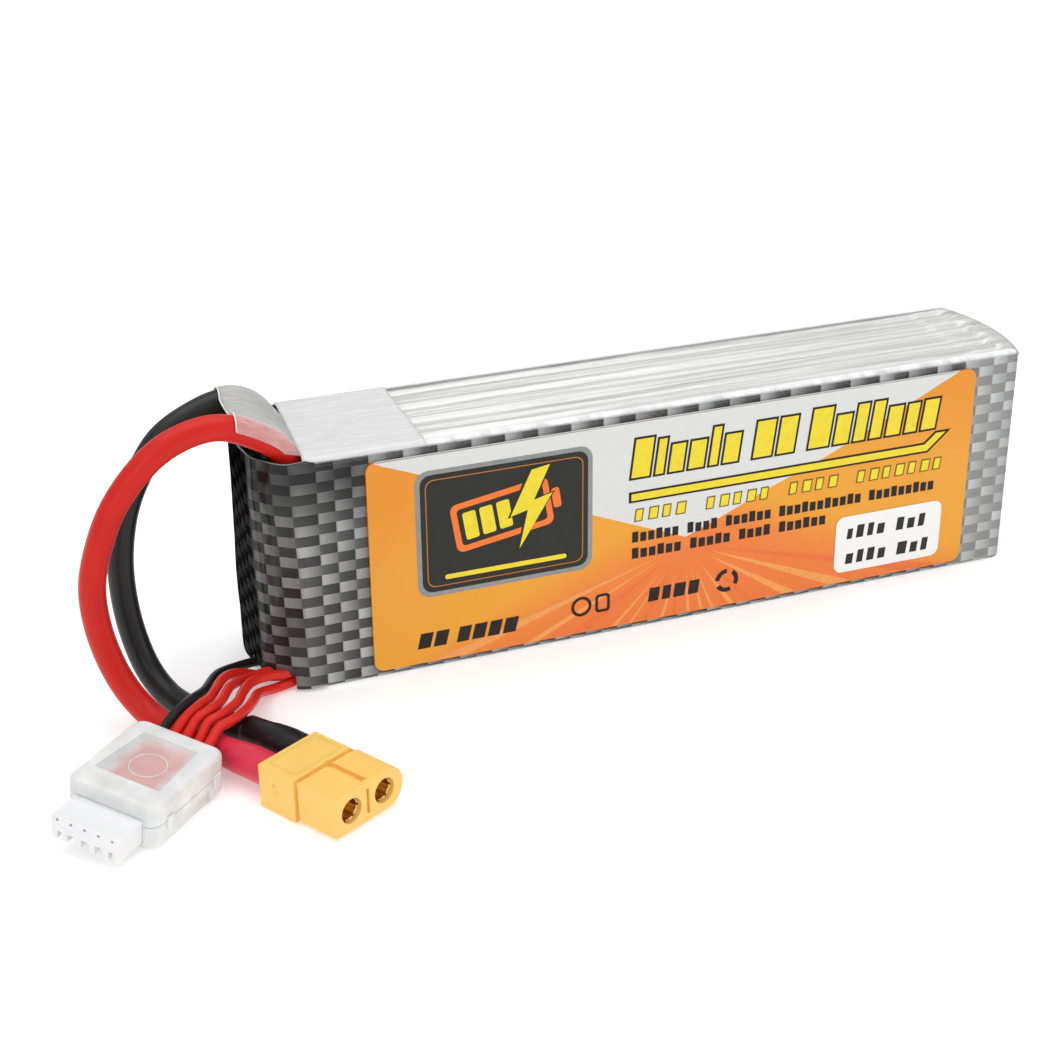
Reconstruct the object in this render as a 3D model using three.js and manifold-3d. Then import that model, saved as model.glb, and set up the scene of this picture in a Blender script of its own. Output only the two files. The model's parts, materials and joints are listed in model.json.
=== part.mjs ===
// Four-cell lithium polymer pack for models: stacked pouch cells in a printed
// cover and clear shrink film, two main leads with a shrouded bullet connector,
// and a five-wire balance lead whose plug sits in a clip-on grip.
// Millimetres, +Z up. Origin: under the middle of the pack, on its resting face.
import * as THREE from 'three';
import { mergeVertices } from 'three/addons/utils/BufferGeometryUtils.js';
import Module from 'manifold-3d';

const wasm = await Module();
wasm.setup();

// Driving dimensions of the pack. Inside the pack group x runs from the left
// crease of the front face and y from the front face backwards.
const PACK = { length: 137.2, thick: 28.2, height: 43 };
const NOSE_LENGTH = 7.2;
const TAIL_BULGE = 2.8;
const FILM = { start: 3.4, end: 136.9, wall: 0.25 };
const COVER = { inset: 0.3, wall: 0.45 };
const CELL = {
  count: 4, thick: 6.2, pitch: 6.75, first: 4.0, front: 9.5, back: 135.5, z: 0.35, height: 42.3,
};
const TERRACE = { front: 6, thick: 0.8 };
const TAB = { front: 3.95, back: 5.95, width: 8, thick: 0.2, low: 7, high: 28 };
const PAD = { thick: 0.45, margin: 4 };
const BOARD = { front: 2.8, thick: 1, y: 1.6, width: 25, z: 0.9, height: 40.1 };
// Between a balance wire's start and the board's joint for it.
const BUMP_GAP = 0.8;
const SOLDER = { reach: 1.9, height: 4.2, corner: 1, top: 33.7, boardGap: 0.05 };
const NOSE_PAD = { left: -4, right: -3, front: 3.6, back: 24.6, low: 8.4, high: 38 };
const TAIL_PAD = { cellGap: 0.2, coverGap: 0.15, sideGap: 1.3, endGap: 0.5 };
const NOTCH = { left: -8.5, right: -2.2, front: 0.9, back: 12.9, top: 4.6 };
const LABEL = { left: 11.4, right: 128.2, low: 1.7, high: 41, thick: 0.17, corner: 1.6 };
const STICKER = { left: 100.8, right: 123.2, low: 3.9, high: 15.4, thick: 0.12, corner: 1.6 };
const PATCH = { left: 3, right: 22.5, front: 0.8, back: 27.6, thick: 0.15 };
const COLLAR = { front: 1.2, width: 22.4, thick: 0.2 };
const SKIN_GAP = 0.03;

// Driving dimensions of the leads and connectors.
const LEAD = { radius: 2.25, sides: 12, steps: 20, end: -4.8, straight: 4.6, straightUp: 3.4 };
const SLEEVE = { inner: 2.5, outer: 2.75, sides: 16, steps: 6, start: -12.6, startUp: 3.1, end: -0.3 };
const WIRE = { radius: 0.85, sides: 8, steps: 15, end: -10.1, up: 4.4 };
const MAIN = { length: 16.2, step: 8.2, width: 15.6, height: 7.6, inset: 0.4, chamfer: 3.2, bend: 3 };
const SOCKET = { near: 3.9, far: 11.1, bore: 2.4, mouth: 2.05, mouthDepth: 0.9, pin: 2.1, pinBore: 1.75 };
const SLOT = { half: 0.6, depth: 0.6, frontGap: 1, faceHalf: 0.25, faceReach: 2 };
const MAIN_PLACE = { x: -82.8, y: -44.55, yaw: THREE.MathUtils.degToRad(-60.5) };
const PLUG = { width: 12.2, length: 9.8, rib: 1, ribHalf: 0.55, low: 2.5, top: 5.1, pitch: 2.5 };
const WAY = { bore: 0.6, up: 4.25, pin: 0.45, pinBack: -9.3, pinFront: -1.2, sides: 12 };
const GRIP = { back: -25.1, front: -5.9, half: 8.3, split: 3.75, coverLow: 4.05, top: 7.7, wall: 1 };
const MOUTH = { half: 6.4, wireLow: 2.6, plugHigh: 5.7 };
// The shallow window in the grip's roof, and the thumb ring moulded in it.
const WINDOW = { back: -21.8, front: -10.4, backHalf: 5, frontHalf: 6, depth: 0.22 };
const RING = { along: -15, across: 0.6, outer: 3.1, inner: 2.7, rise: 0.1 };
const GRIP_PLACE = { x: -110.7, y: -49.2, z: 0.945, yaw: -136.8, roll: -6.4 };

const finish = (color, roughness, metalness = 0, opacity = 1) => new THREE.MeshStandardMaterial(
  { color, roughness, metalness, opacity, transparent: opacity < 1 });
const FINISH = {
  foil: finish(0xc9cacb, 0.35, 0.9),
  aluminium: finish(0xd0d2d4, 0.4, 1),
  copper: finish(0xb87a52, 0.4, 1),
  foam: finish(0xf2f2ee, 0.9),
  board: finish(0x2f6b3c, 0.6),
  solder: finish(0xb9bcc0, 0.35, 1),
  cover: finish(0x55585a, 0.3),
  film: finish(0xffffff, 0.08, 0, 0.2),
  tape: finish(0xe6e7e7, 0.35, 0, 0.6),
  label: finish(0xe9862e, 0.35),
  sticker: finish(0xefefec, 0.4),
  red: finish(0xc8202c, 0.45),
  black: finish(0x17181a, 0.45),
  redSleeve: finish(0xd8343c, 0.5),
  blackSleeve: finish(0x1c1c1e, 0.5),
  amber: finish(0xdda02c, 0.45),
  gold: finish(0xc9a24a, 0.3, 1),
  plug: finish(0xf1f0ea, 0.5),
  tin: finish(0xb8babd, 0.35, 1),
  grip: finish(0xdfe3e4, 0.35, 0, 0.55),
};

const model = new THREE.Group();
const pack = new THREE.Group();
pack.position.set(-66.4, -PACK.thick / 2, 0);
const mainConnector = new THREE.Group();
mainConnector.position.set(MAIN_PLACE.x, MAIN_PLACE.y, 0);
mainConnector.rotation.z = MAIN_PLACE.yaw;
const balanceConnector = new THREE.Group();
balanceConnector.position.set(GRIP_PLACE.x, GRIP_PLACE.y, GRIP_PLACE.z);
balanceConnector.rotation.set(
  THREE.MathUtils.degToRad(GRIP_PLACE.roll), 0, THREE.MathUtils.degToRad(GRIP_PLACE.yaw), 'ZYX');
model.add(pack, mainConnector, balanceConnector);
model.updateMatrixWorld(true);

function addMesh(parent, name, geometry, material) {
  const mesh = new THREE.Mesh(geometry, material);
  mesh.name = name;
  parent.add(mesh);
  return mesh;
}

// ---- general shape helpers ----

function box(lowX, lowY, lowZ, highX, highY, highZ) {
  const geometry = new THREE.BoxGeometry(highX - lowX, highY - lowY, highZ - lowZ);
  return geometry.translate((lowX + highX) / 2, (lowY + highY) / 2, (lowZ + highZ) / 2);
}

function polygon(points) {
  return new THREE.Shape(points.map(([a, b]) => new THREE.Vector2(a, b)));
}

// A rectangle with round corners, as a closed shape.
function roundedRectangle(left, low, right, high, radius) {
  const shape = new THREE.Shape();
  shape.moveTo(left + radius, low);
  shape.lineTo(right - radius, low);
  shape.absarc(right - radius, low + radius, radius, -Math.PI / 2, 0, false);
  shape.lineTo(right, high - radius);
  shape.absarc(right - radius, high - radius, radius, 0, Math.PI / 2, false);
  shape.lineTo(left + radius, high);
  shape.absarc(left + radius, high - radius, radius, Math.PI / 2, Math.PI, false);
  shape.lineTo(left, low + radius);
  shape.absarc(left + radius, low + radius, radius, Math.PI, 1.5 * Math.PI, false);
  return shape;
}

function extrude(shape, depth, curveSegments = 4) {
  return new THREE.ExtrudeGeometry(shape, { depth, bevelEnabled: false, curveSegments });
}

// Turns a shape drawn in (x, z) and extruded into a plate that spans y.
function uprightPlate(shape, y, depth, curveSegments) {
  return extrude(shape, depth, curveSegments).rotateX(Math.PI / 2).translate(0, y + depth, 0);
}

// Turns a shape drawn in (y, z) and extruded into a bar that spans x.
function barAlongX(shape, x, length, curveSegments) {
  const turn = new THREE.Matrix4().makeBasis(
    new THREE.Vector3(0, 1, 0), new THREE.Vector3(0, 0, 1), new THREE.Vector3(1, 0, 0));
  return extrude(shape, length, curveSegments).applyMatrix4(turn).translate(x, 0, 0);
}

// A round bar along x, from lowX to highX.
function rodAlongX(lowX, highX, radius, y, z, sides = 16) {
  const geometry = new THREE.CylinderGeometry(radius, radius, highX - lowX, sides);
  return geometry.rotateZ(-Math.PI / 2).translate((lowX + highX) / 2, y, z);
}

// A turned piece along x, from [x, radius] pairs that start and end on the axis.
function turned(profile, y, z, sides = 16) {
  const points = profile.map(([along, radius]) => new THREE.Vector2(radius, along));
  return new THREE.LatheGeometry(points, sides).rotateZ(-Math.PI / 2).translate(0, y, z);
}

function toSolid(geometry) {
  const plain = geometry.clone();
  plain.deleteAttribute('normal');
  plain.deleteAttribute('uv');
  const merged = mergeVertices(plain, 1e-4);
  const mesh = new wasm.Mesh({
    numProp: 3,
    vertProperties: Float32Array.from(merged.attributes.position.array),
    triVerts: Uint32Array.from(merged.index.array),
  });
  return new wasm.Manifold(mesh);
}

function toGeometry(solid) {
  const mesh = solid.getMesh();
  const geometry = new THREE.BufferGeometry();
  geometry.setAttribute('position', new THREE.BufferAttribute(mesh.vertProperties, 3));
  geometry.setIndex(new THREE.BufferAttribute(mesh.triVerts, 1));
  geometry.computeVertexNormals();
  return geometry;
}

// Joins all the added pieces, then cuts all the removed ones.
function carve(added, removed) {
  let solid = toSolid(added[0]);
  for (const piece of added.slice(1)) solid = solid.add(toSolid(piece));
  for (const piece of removed) solid = solid.subtract(toSolid(piece));
  return toGeometry(solid);
}

function smoothCurve(points) {
  return new THREE.CatmullRomCurve3(points.map((p) => new THREE.Vector3(...p)), false, 'centripetal');
}

// A full circle takes two sides for each curve segment.
function tube(curve, radius, sides, steps, bore = 0) {
  const section = new THREE.Shape();
  section.absarc(0, 0, radius, 0, 2 * Math.PI, false);
  if (bore > 0) {
    const hole = new THREE.Path();
    hole.absarc(0, 0, bore, 0, 2 * Math.PI, true);
    section.holes.push(hole);
  }
  return new THREE.ExtrudeGeometry(
    section, { steps, extrudePath: curve, bevelEnabled: false, curveSegments: sides / 2 });
}

// ---- cells, tabs and what holds them ----

const cellMiddle = (index) => CELL.first + index * CELL.pitch;

function pouchCell(index) {
  const half = CELL.thick / 2;
  const seal = TERRACE.thick / 2;
  const outline = polygon([
    [TERRACE.front, -seal], [CELL.front - 0.5, -seal], [CELL.front + 1, -half],
    [CELL.back - 0.6, -half], [CELL.back, -half + 0.6], [CELL.back, half - 0.6],
    [CELL.back - 0.6, half], [CELL.front + 1, half], [CELL.front - 0.5, seal], [TERRACE.front, seal],
  ]);
  return extrude(outline, CELL.height).translate(0, cellMiddle(index), CELL.z);
}

// Every second cell is turned over, so that neighbours join in series.
function cellTab(index, positive) {
  const onTop = positive === (index % 2 === 0);
  const y = cellMiddle(index);
  const z = onTop ? TAB.high : TAB.low;
  return box(TAB.front, y - TAB.thick / 2, z, TAB.back, y + TAB.thick / 2, z + TAB.width);
}

function adhesivePad(index) {
  const y = cellMiddle(index) + CELL.pitch / 2;
  const half = PAD.thick / 2;
  return box(CELL.front + PAD.margin, y - half, CELL.z + PAD.margin,
    CELL.back - PAD.margin, y + half, CELL.z + CELL.height - PAD.margin);
}

for (let index = 0; index < CELL.count; index += 1) {
  const number = index + 1;
  addMesh(pack, `cell_${number}`, pouchCell(index), FINISH.foil);
  addMesh(pack, `cell_${number}_positive_tab`, cellTab(index, true), FINISH.aluminium);
  addMesh(pack, `cell_${number}_negative_tab`, cellTab(index, false), FINISH.copper);
  if (number < CELL.count) addMesh(pack, `adhesive_pad_${number}`, adhesivePad(index), FINISH.foam);
}

// ---- leads: where they leave, how they lie ----

// A point of the main connector's frame: along its length, across it and up.
function onMain(along, across, up) {
  return mainConnector.localToWorld(new THREE.Vector3(along, across, up)).toArray();
}

// The same in the balance connector's frame.
function onBalance(along, across, up) {
  return balanceConnector.localToWorld(new THREE.Vector3(along, across, up)).toArray();
}

const MAIN_AXIS_UP = MAIN.height / 2;
const RED_START = [-66.1, -9.1, 34];
const BLACK_START = [-66.1, 4.4, 34];

const RED_ROUTE = [
  RED_START, [-66.2, -9.1, 39], [-67.8, -9.1, 43.6], [-72.1, -9.1, 46.9], [-77.7, -9.5, 49.3],
  [-83.4, -10, 48.9], [-89.3, -10.5, 46.1], [-95.8, -11, 39.1], [-99.4, -11.1, 31.2],
  [-100.8, -11.4, 25.3], [-100.6, -11.9, 18.5], [-99, -12.7, 11.4], [-97, -14.3, 6.8],
  [-94.4, -17.3, 3.6], [-91.6, -21.7, 2.4], [-88.3, -27, 2.6], [-86.2, -30.4, 3],
  onMain(LEAD.end - LEAD.straight, SOCKET.near, LEAD.straightUp),
  onMain(LEAD.end, SOCKET.near, MAIN_AXIS_UP),
];
const BLACK_ROUTE = [
  BLACK_START, [-66.1, 4.4, 39], [-67, 4.4, 43.8], [-70, 4.4, 47], [-74, 4.3, 48.1],
  [-79.7, 3.5, 46.8], [-85.5, 2.5, 43.7], [-89.8, 1.5, 38.1], [-92.3, 0.9, 33], [-94, 0.1, 26.5],
  [-94.6, -1.1, 20.1], [-94.1, -3.1, 12.6], [-92.5, -6.1, 6.2], [-90.3, -10.5, 3.1],
  [-87.6, -15.7, 2.4], [-84.4, -21.1, 2.5], [-80.1, -27, 2.8],
  onMain(LEAD.end - LEAD.straight, SOCKET.far, LEAD.straightUp),
  onMain(LEAD.end, SOCKET.far, MAIN_AXIS_UP),
];

const balanceEnd = (index) => onBalance(WIRE.end, (index - 2) * PLUG.pitch, WIRE.up);
const BALANCE_ROUTES = [
  [[-64.9, -3.1, 4], [-69.9, -3.7, 2.4], [-74.8, -4.9, 2.8], [-78, -6.7, 3.5], [-81.6, -10.2, 4.8],
    [-85.2, -16.7, 5.9], [-88, -20.2, 6.8], [-90.9, -23.3, 7], [-92.9, -25.6, 6.7],
    [-95.4, -29.7, 6.6], [-98.8, -32.7, 6.2], [-102.7, -35.9, 5.9], balanceEnd(0)],
  [[-64.9, -6.7, 1.8], [-68.9, -8.4, 1], [-72.8, -8.2, 1.5], [-76.6, -9, 3.3], [-79.6, -11.4, 5],
    [-81.8, -14.8, 6.2], [-85, -20.5, 6.6], [-87.1, -22.9, 7.1], [-89.7, -25.3, 7],
    [-91.6, -27.7, 6.6], [-93.9, -31.3, 6.3], [-97.3, -34.3, 6], [-101, -37.6, 5.7], balanceEnd(1)],
  [[-64.9, -6.7, 5], [-68.9, -8.8, 3], [-72.8, -9.6, 3.2], [-76.6, -11.4, 3.6], [-79, -14.2, 4.9],
    [-81.1, -17.7, 6.3], [-83.8, -22.9, 6.9], [-85.9, -25.3, 7.3], [-88.4, -26.9, 7],
    [-90.3, -29.5, 6.5], [-92.5, -32.7, 6.1], [-95.8, -35.9, 5.7], [-99.4, -39.3, 5.4], balanceEnd(2)],
  [[-64.9, -9.1, 5], [-68.9, -10.9, 3], [-72.6, -11.6, 3.4], [-75.4, -13, 4], [-77.5, -15.7, 4.9],
    [-79.5, -19.8, 5.9], [-80.9, -23.2, 6.6], [-82.6, -25.4, 6.9], [-85, -27.8, 7.3],
    [-87.1, -28.8, 7], [-88.7, -31.2, 6.3], [-90.8, -34.3, 5.9], [-94.3, -37.5, 5.5],
    [-97.8, -41, 5.2], balanceEnd(3)],
  [[-64.9, -9.1, 1.8], [-68.9, -10.9, 1], [-72.1, -11.9, 1], [-75, -14.4, 2.2], [-76.6, -17.9, 4],
    [-77.9, -21.6, 5.4], [-79.5, -25.1, 6.4], [-81.7, -28, 6.9], [-83.7, -30.1, 7.3],
    [-85.7, -31.1, 7.2], [-87.5, -33.2, 6.5], [-89.5, -35.8, 5.8], [-92.7, -39.1, 5.2],
    [-96.2, -42.7, 4.9], balanceEnd(4)],
];

// ---- tab board, solder joints and padding ----

// The board's joints face the leads: one bump under each balance wire's start.
function tabBoard() {
  const plate = box(BOARD.front, BOARD.y, BOARD.z,
    BOARD.front + BOARD.thick, BOARD.y + BOARD.width, BOARD.z + BOARD.height);
  const bumps = BALANCE_ROUTES.map(([start]) => {
    const [x, y, z] = pack.worldToLocal(new THREE.Vector3(...start)).toArray();
    return rodAlongX(x + BUMP_GAP, BOARD.front + 0.3, WIRE.radius, y, z, 8);
  });
  return carve([plate, ...bumps], []);
}

function solderJoint(leadStart) {
  const { x, y } = pack.worldToLocal(new THREE.Vector3(...leadStart));
  const outline = roundedRectangle(
    x - SOLDER.reach, y - LEAD.radius, BOARD.front - SOLDER.boardGap, y + LEAD.radius, SOLDER.corner);
  return extrude(outline, SOLDER.height, 3).translate(0, 0, SOLDER.top - SOLDER.height);
}

// A lens of foam that fills the tail of the cover behind the cells.
function tailPad() {
  const left = CELL.back + TAIL_PAD.cellGap;
  const rise = PACK.length + TAIL_BULGE - COVER.inset - COVER.wall - TAIL_PAD.coverGap - left;
  const half = PACK.thick / 2 - TAIL_PAD.sideGap;
  const outline = new THREE.Shape();
  outline.moveTo(left, -half);
  outline.quadraticCurveTo(left + 2 * rise - 1, 0, left, half);
  outline.closePath();
  const height = CELL.height - 2 * TAIL_PAD.endGap;
  return extrude(outline, height, 8).translate(0, PACK.thick / 2, CELL.z + TAIL_PAD.endGap);
}

addMesh(pack, 'tab_board', tabBoard(), FINISH.board);
addMesh(pack, 'red_solder_joint', solderJoint(RED_START), FINISH.solder);
addMesh(pack, 'black_solder_joint', solderJoint(BLACK_START), FINISH.solder);
addMesh(pack, 'nose_insulation_pad', box(
  NOSE_PAD.left, NOSE_PAD.front, NOSE_PAD.low, NOSE_PAD.right, NOSE_PAD.back, NOSE_PAD.high), FINISH.foam);
addMesh(pack, 'tail_foam_pad', tailPad(), FINISH.foam);

// ---- printed cover ----

// Half of the nose's outline, from the front face to the tip: the creases lean
// forwards with height, so each point is given at the bottom and at the top.
const NOSE = [
  { low: [4, 0], high: [4, 0] },
  { low: [0.2, 0], high: [-1, 0.3] },
  { low: [-1.6, 1.1], high: [-3.4, 1.9] },
  { low: [-4.2, 2.9], high: [-5.5, 4.2] },
  { low: [-6.4, 4.6], high: [-6.8, 6.8] },
  { low: [-NOSE_LENGTH, 8.5], high: [-NOSE_LENGTH, 9.8] },
  { low: [-NOSE_LENGTH, 14.1], high: [-NOSE_LENGTH, 14.1] },
];
const TAIL_STEPS = 8;

// One level of the closed outline, anticlockwise from above. The cover keeps
// inside the film, so its long sides stand in from the nominal faces.
function coverLevel(level) {
  const half = NOSE.map((point) => [point[level][0], Math.max(point[level][1], COVER.inset)]);
  const mirrored = half.slice(0, -1).map(([x, y]) => [x, PACK.thick - y]);
  const tail = [];
  for (let step = 0; step <= TAIL_STEPS; step += 1) {
    const across = -1 + 2 * step / TAIL_STEPS;
    const y = PACK.thick / 2 + across * (PACK.thick / 2 - COVER.inset);
    tail.push([PACK.length + TAIL_BULGE * (1 - across * across), y]);
  }
  return [...tail, ...mirrored, ...half.slice().reverse()];
}

// Moves every point of a closed anticlockwise outline inwards by the wall.
function inset(outline, wall) {
  const count = outline.length;
  return outline.map((point, index) => {
    const before = outline[(index + count - 1) % count];
    const after = outline[(index + 1) % count];
    const first = new THREE.Vector2(point[0] - before[0], point[1] - before[1]).normalize();
    const second = new THREE.Vector2(after[0] - point[0], after[1] - point[1]).normalize();
    const inward = new THREE.Vector2(-first.y - second.y, first.x + second.x).normalize();
    const reach = wall / Math.max(0.5, inward.x * -first.y + inward.y * first.x);
    return [point[0] + inward.x * reach, point[1] + inward.y * reach];
  });
}

function coverRing() {
  const levels = [[coverLevel('low'), COVER.inset], [coverLevel('high'), PACK.height - COVER.inset]];
  const positions = [];
  for (const [outline, z] of levels) {
    for (const [x, y] of outline) positions.push(x, y, z);
    for (const [x, y] of inset(outline, COVER.wall)) positions.push(x, y, z);
  }
  const count = levels[0][0].length;
  const indices = [];
  const quad = (a, b, c, d) => indices.push(a, b, c, a, c, d);
  for (let i = 0; i < count; i += 1) {
    const j = (i + 1) % count;
    const [outLow, inLow, outHigh, inHigh] = [0, count, 2 * count, 3 * count];
    quad(outLow + i, outLow + j, outHigh + j, outHigh + i);
    quad(inLow + j, inLow + i, inHigh + i, inHigh + j);
    quad(outHigh + i, outHigh + j, inHigh + j, inHigh + i);
    quad(outLow + j, outLow + i, inLow + i, inLow + j);
  }
  const geometry = new THREE.BufferGeometry();
  geometry.setAttribute('position', new THREE.Float32BufferAttribute(positions, 3));
  geometry.setIndex(indices);
  return geometry;
}

// The balance wires leave through a notch at the foot of the nose.
const wireNotch = box(NOTCH.left, NOTCH.front, -1, NOTCH.right, NOTCH.back, NOTCH.top);

addMesh(pack, 'carbon_print_cover', carve([coverRing()], [wireNotch]), FINISH.cover);

// ---- shrink film, labels and tape ----

function shrinkFilm() {
  const outer = roundedRectangle(0, 0, PACK.thick, PACK.height, FILM.wall);
  const inner = roundedRectangle(
    FILM.wall, FILM.wall, PACK.thick - FILM.wall, PACK.height - FILM.wall, FILM.wall / 2);
  outer.holes.push(inner);
  return barAlongX(outer, FILM.start, FILM.end - FILM.start, 2);
}

function flatLabel(size, y) {
  const outline = roundedRectangle(size.left, size.low, size.right, size.high, size.corner);
  return uprightPlate(outline, y, size.thick, 4);
}

// The clear film's loose end, draped over the two leads where they bend away.
function leadCollar() {
  const ridge = smoothCurve([
    [3.2, 0, 43.5], [2.4, 0, 45.2], [0.6, 0, 47.6], [-2, 0, 49.7], [-4.6, 0, 51], [-7, 0, 52.2],
  ]);
  const above = ridge.getPoints(8).map((point) => [point.x, point.z]);
  const below = above.map(([x, z]) => [x - COLLAR.thick, z - COLLAR.thick]).reverse();
  return uprightPlate(polygon([...above, ...below]), COLLAR.front, COLLAR.width);
}

const labelFront = -SKIN_GAP - LABEL.thick;
addMesh(pack, 'clear_shrink_film', shrinkFilm(), FINISH.film);
addMesh(pack, 'front_label', flatLabel(LABEL, labelFront), FINISH.label);
addMesh(pack, 'back_label', flatLabel(LABEL, PACK.thick + SKIN_GAP), FINISH.label);
addMesh(pack, 'rating_sticker', flatLabel(STICKER, labelFront - SKIN_GAP - STICKER.thick), FINISH.sticker);
addMesh(pack, 'tape_patch', box(PATCH.left, PATCH.front, PACK.height + SKIN_GAP,
  PATCH.right, PATCH.back, PACK.height + SKIN_GAP + PATCH.thick), FINISH.tape);
addMesh(pack, 'lead_film_collar', leadCollar(), FINISH.tape);

// ---- main leads and their sleeves ----

function sleevePath(across) {
  return smoothCurve([
    onMain(SLEEVE.start, across, SLEEVE.startUp), onMain(LEAD.end - LEAD.straight, across, LEAD.straightUp),
    onMain(LEAD.end, across, MAIN_AXIS_UP), onMain(SLEEVE.end, across, MAIN_AXIS_UP),
  ]);
}

function mainLead(name, route, across, wireFinish, sleeveFinish) {
  addMesh(model, `${name}_lead`, tube(smoothCurve(route), LEAD.radius, LEAD.sides, LEAD.steps), wireFinish);
  const sleeve = tube(sleevePath(across), SLEEVE.outer, SLEEVE.sides, SLEEVE.steps, SLEEVE.inner);
  addMesh(model, `${name}_heat_shrink`, sleeve, sleeveFinish);
}

mainLead('red', RED_ROUTE, SOCKET.near, FINISH.red, FINISH.redSleeve);
mainLead('black', BLACK_ROUTE, SOCKET.far, FINISH.black, FINISH.blackSleeve);

// ---- main connector ----

// Section across the rear block: square on one side, chamfered on the other.
function rearSection() {
  const { width, height, chamfer } = MAIN;
  return polygon([
    [0, 0], [width - chamfer, 0], [width, chamfer],
    [width, height - chamfer], [width - chamfer, height], [0, height],
  ]);
}

// Section across the insert: square on one side and round on the other, which
// is what keys it to its mate.
function insertSection() {
  const low = MAIN.inset;
  const high = MAIN.height - MAIN.inset;
  const right = MAIN.width - MAIN.inset - MAIN.bend;
  const points = [[low, low]];
  for (let angle = -90; angle <= 90; angle += 15) {
    const turn = THREE.MathUtils.degToRad(angle);
    points.push([right + MAIN.bend * Math.cos(turn), MAIN_AXIS_UP + (high - low) / 2 * Math.sin(turn)]);
  }
  points.push([low, high]);
  return polygon(points);
}

function mainHousing() {
  const rear = barAlongX(rearSection(), 0, MAIN.step);
  const insert = barAlongX(insertSection(), MAIN.step - 0.5, MAIN.length - MAIN.step + 0.5);
  const cuts = [];
  for (const across of [SOCKET.near, SOCKET.far]) {
    cuts.push(rodAlongX(-1, MAIN.length - SOCKET.mouthDepth, SOCKET.bore, across, MAIN_AXIS_UP, 20));
    cuts.push(rodAlongX(1, MAIN.length + 1, SOCKET.mouth, across, MAIN_AXIS_UP, 20));
  }
  const middle = (SOCKET.near + SOCKET.far) / 2;
  const slotStart = MAIN.step + 0.2;
  const slotEnd = MAIN.length - SLOT.frontGap;
  for (const z of [MAIN.inset, MAIN.height - MAIN.inset]) {
    cuts.push(box(
      slotStart, middle - SLOT.half, z - SLOT.depth, slotEnd, middle + SLOT.half, z + SLOT.depth));
  }
  cuts.push(box(MAIN.length - SLOT.depth, middle - SLOT.faceHalf, MAIN_AXIS_UP - SLOT.faceReach,
    MAIN.length + 1, middle + SLOT.faceHalf, MAIN_AXIS_UP + SLOT.faceReach));
  return carve([rear, insert], cuts);
}

// Solder cup at the back, spring socket at the front.
function mainContact(across) {
  const front = MAIN.length - SOCKET.mouthDepth - 0.4;
  const cup = LEAD.end + 0.3;
  return turned([
    [cup + 3.6, 0], [cup + 3.6, 1.6], [cup, 1.6], [cup, SOCKET.pin],
    [front, SOCKET.pin], [front, SOCKET.pinBore], [front - 8, SOCKET.pinBore], [front - 8, 0],
  ], across, MAIN_AXIS_UP);
}

addMesh(mainConnector, 'main_connector_housing', mainHousing(), FINISH.amber);
addMesh(mainConnector, 'main_contact_positive', mainContact(SOCKET.near), FINISH.gold);
addMesh(mainConnector, 'main_contact_negative', mainContact(SOCKET.far), FINISH.gold);

// ---- balance lead ----

BALANCE_ROUTES.forEach((route, index) => {
  const wire = tube(smoothCurve(route), WIRE.radius, WIRE.sides, WIRE.steps);
  addMesh(model, `balance_wire_${index + 1}`, wire, index === 0 ? FINISH.black : FINISH.red);
});

// The plug's mating face is at x = 0. Ribs on its lower side guide it home.
function plugHousing() {
  const half = PLUG.width / 2;
  const body = box(-PLUG.length, -half, PLUG.low, 0, half, PLUG.top);
  const between = [-1.5, -0.5, 0.5, 1.5].map((place) => place * PLUG.pitch);
  const ribs = [-half + PLUG.ribHalf, ...between, half - PLUG.ribHalf].map(
    (y) => box(-PLUG.length, y - PLUG.ribHalf, PLUG.rib, 0, y + PLUG.ribHalf, PLUG.low + 0.2));
  const bores = [-2, -1, 0, 1, 2].map(
    (place) => rodAlongX(-PLUG.length - 1, 1, WAY.bore, place * PLUG.pitch, WAY.up, WAY.sides));
  return carve([body, ...ribs], bores);
}

addMesh(balanceConnector, 'balance_plug_housing', plugHousing(), FINISH.plug);
for (let index = 0; index < 5; index += 1) {
  const contact = rodAlongX(WAY.pinBack, WAY.pinFront, WAY.pin, (index - 2) * PLUG.pitch, WAY.up, 8);
  addMesh(balanceConnector, `balance_contact_${index + 1}`, contact, FINISH.tin);
}

// ---- clip-on grip around the plug ----

const COVER_ROOF = GRIP.top - GRIP.wall;

// A tray with one open side, which is cut at both ends for plug and wires.
function gripBase() {
  const shell = box(GRIP.back, -GRIP.half, 0, GRIP.front, GRIP.half, GRIP.split);
  const hollow = box(GRIP.back + GRIP.wall, -GRIP.half + GRIP.wall, GRIP.wall,
    GRIP.front - GRIP.wall, GRIP.half - GRIP.wall, GRIP.split + 1);
  const plugMouth = box(GRIP.front - 2, -MOUTH.half, GRIP.wall, GRIP.front + 1, MOUTH.half, GRIP.split + 1);
  const wireMouth = box(GRIP.back - 1, -MOUTH.half, MOUTH.wireLow,
    GRIP.back + 2, MOUTH.half, GRIP.split + 1);
  return carve([shell], [hollow, plugMouth, wireMouth]);
}

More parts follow.
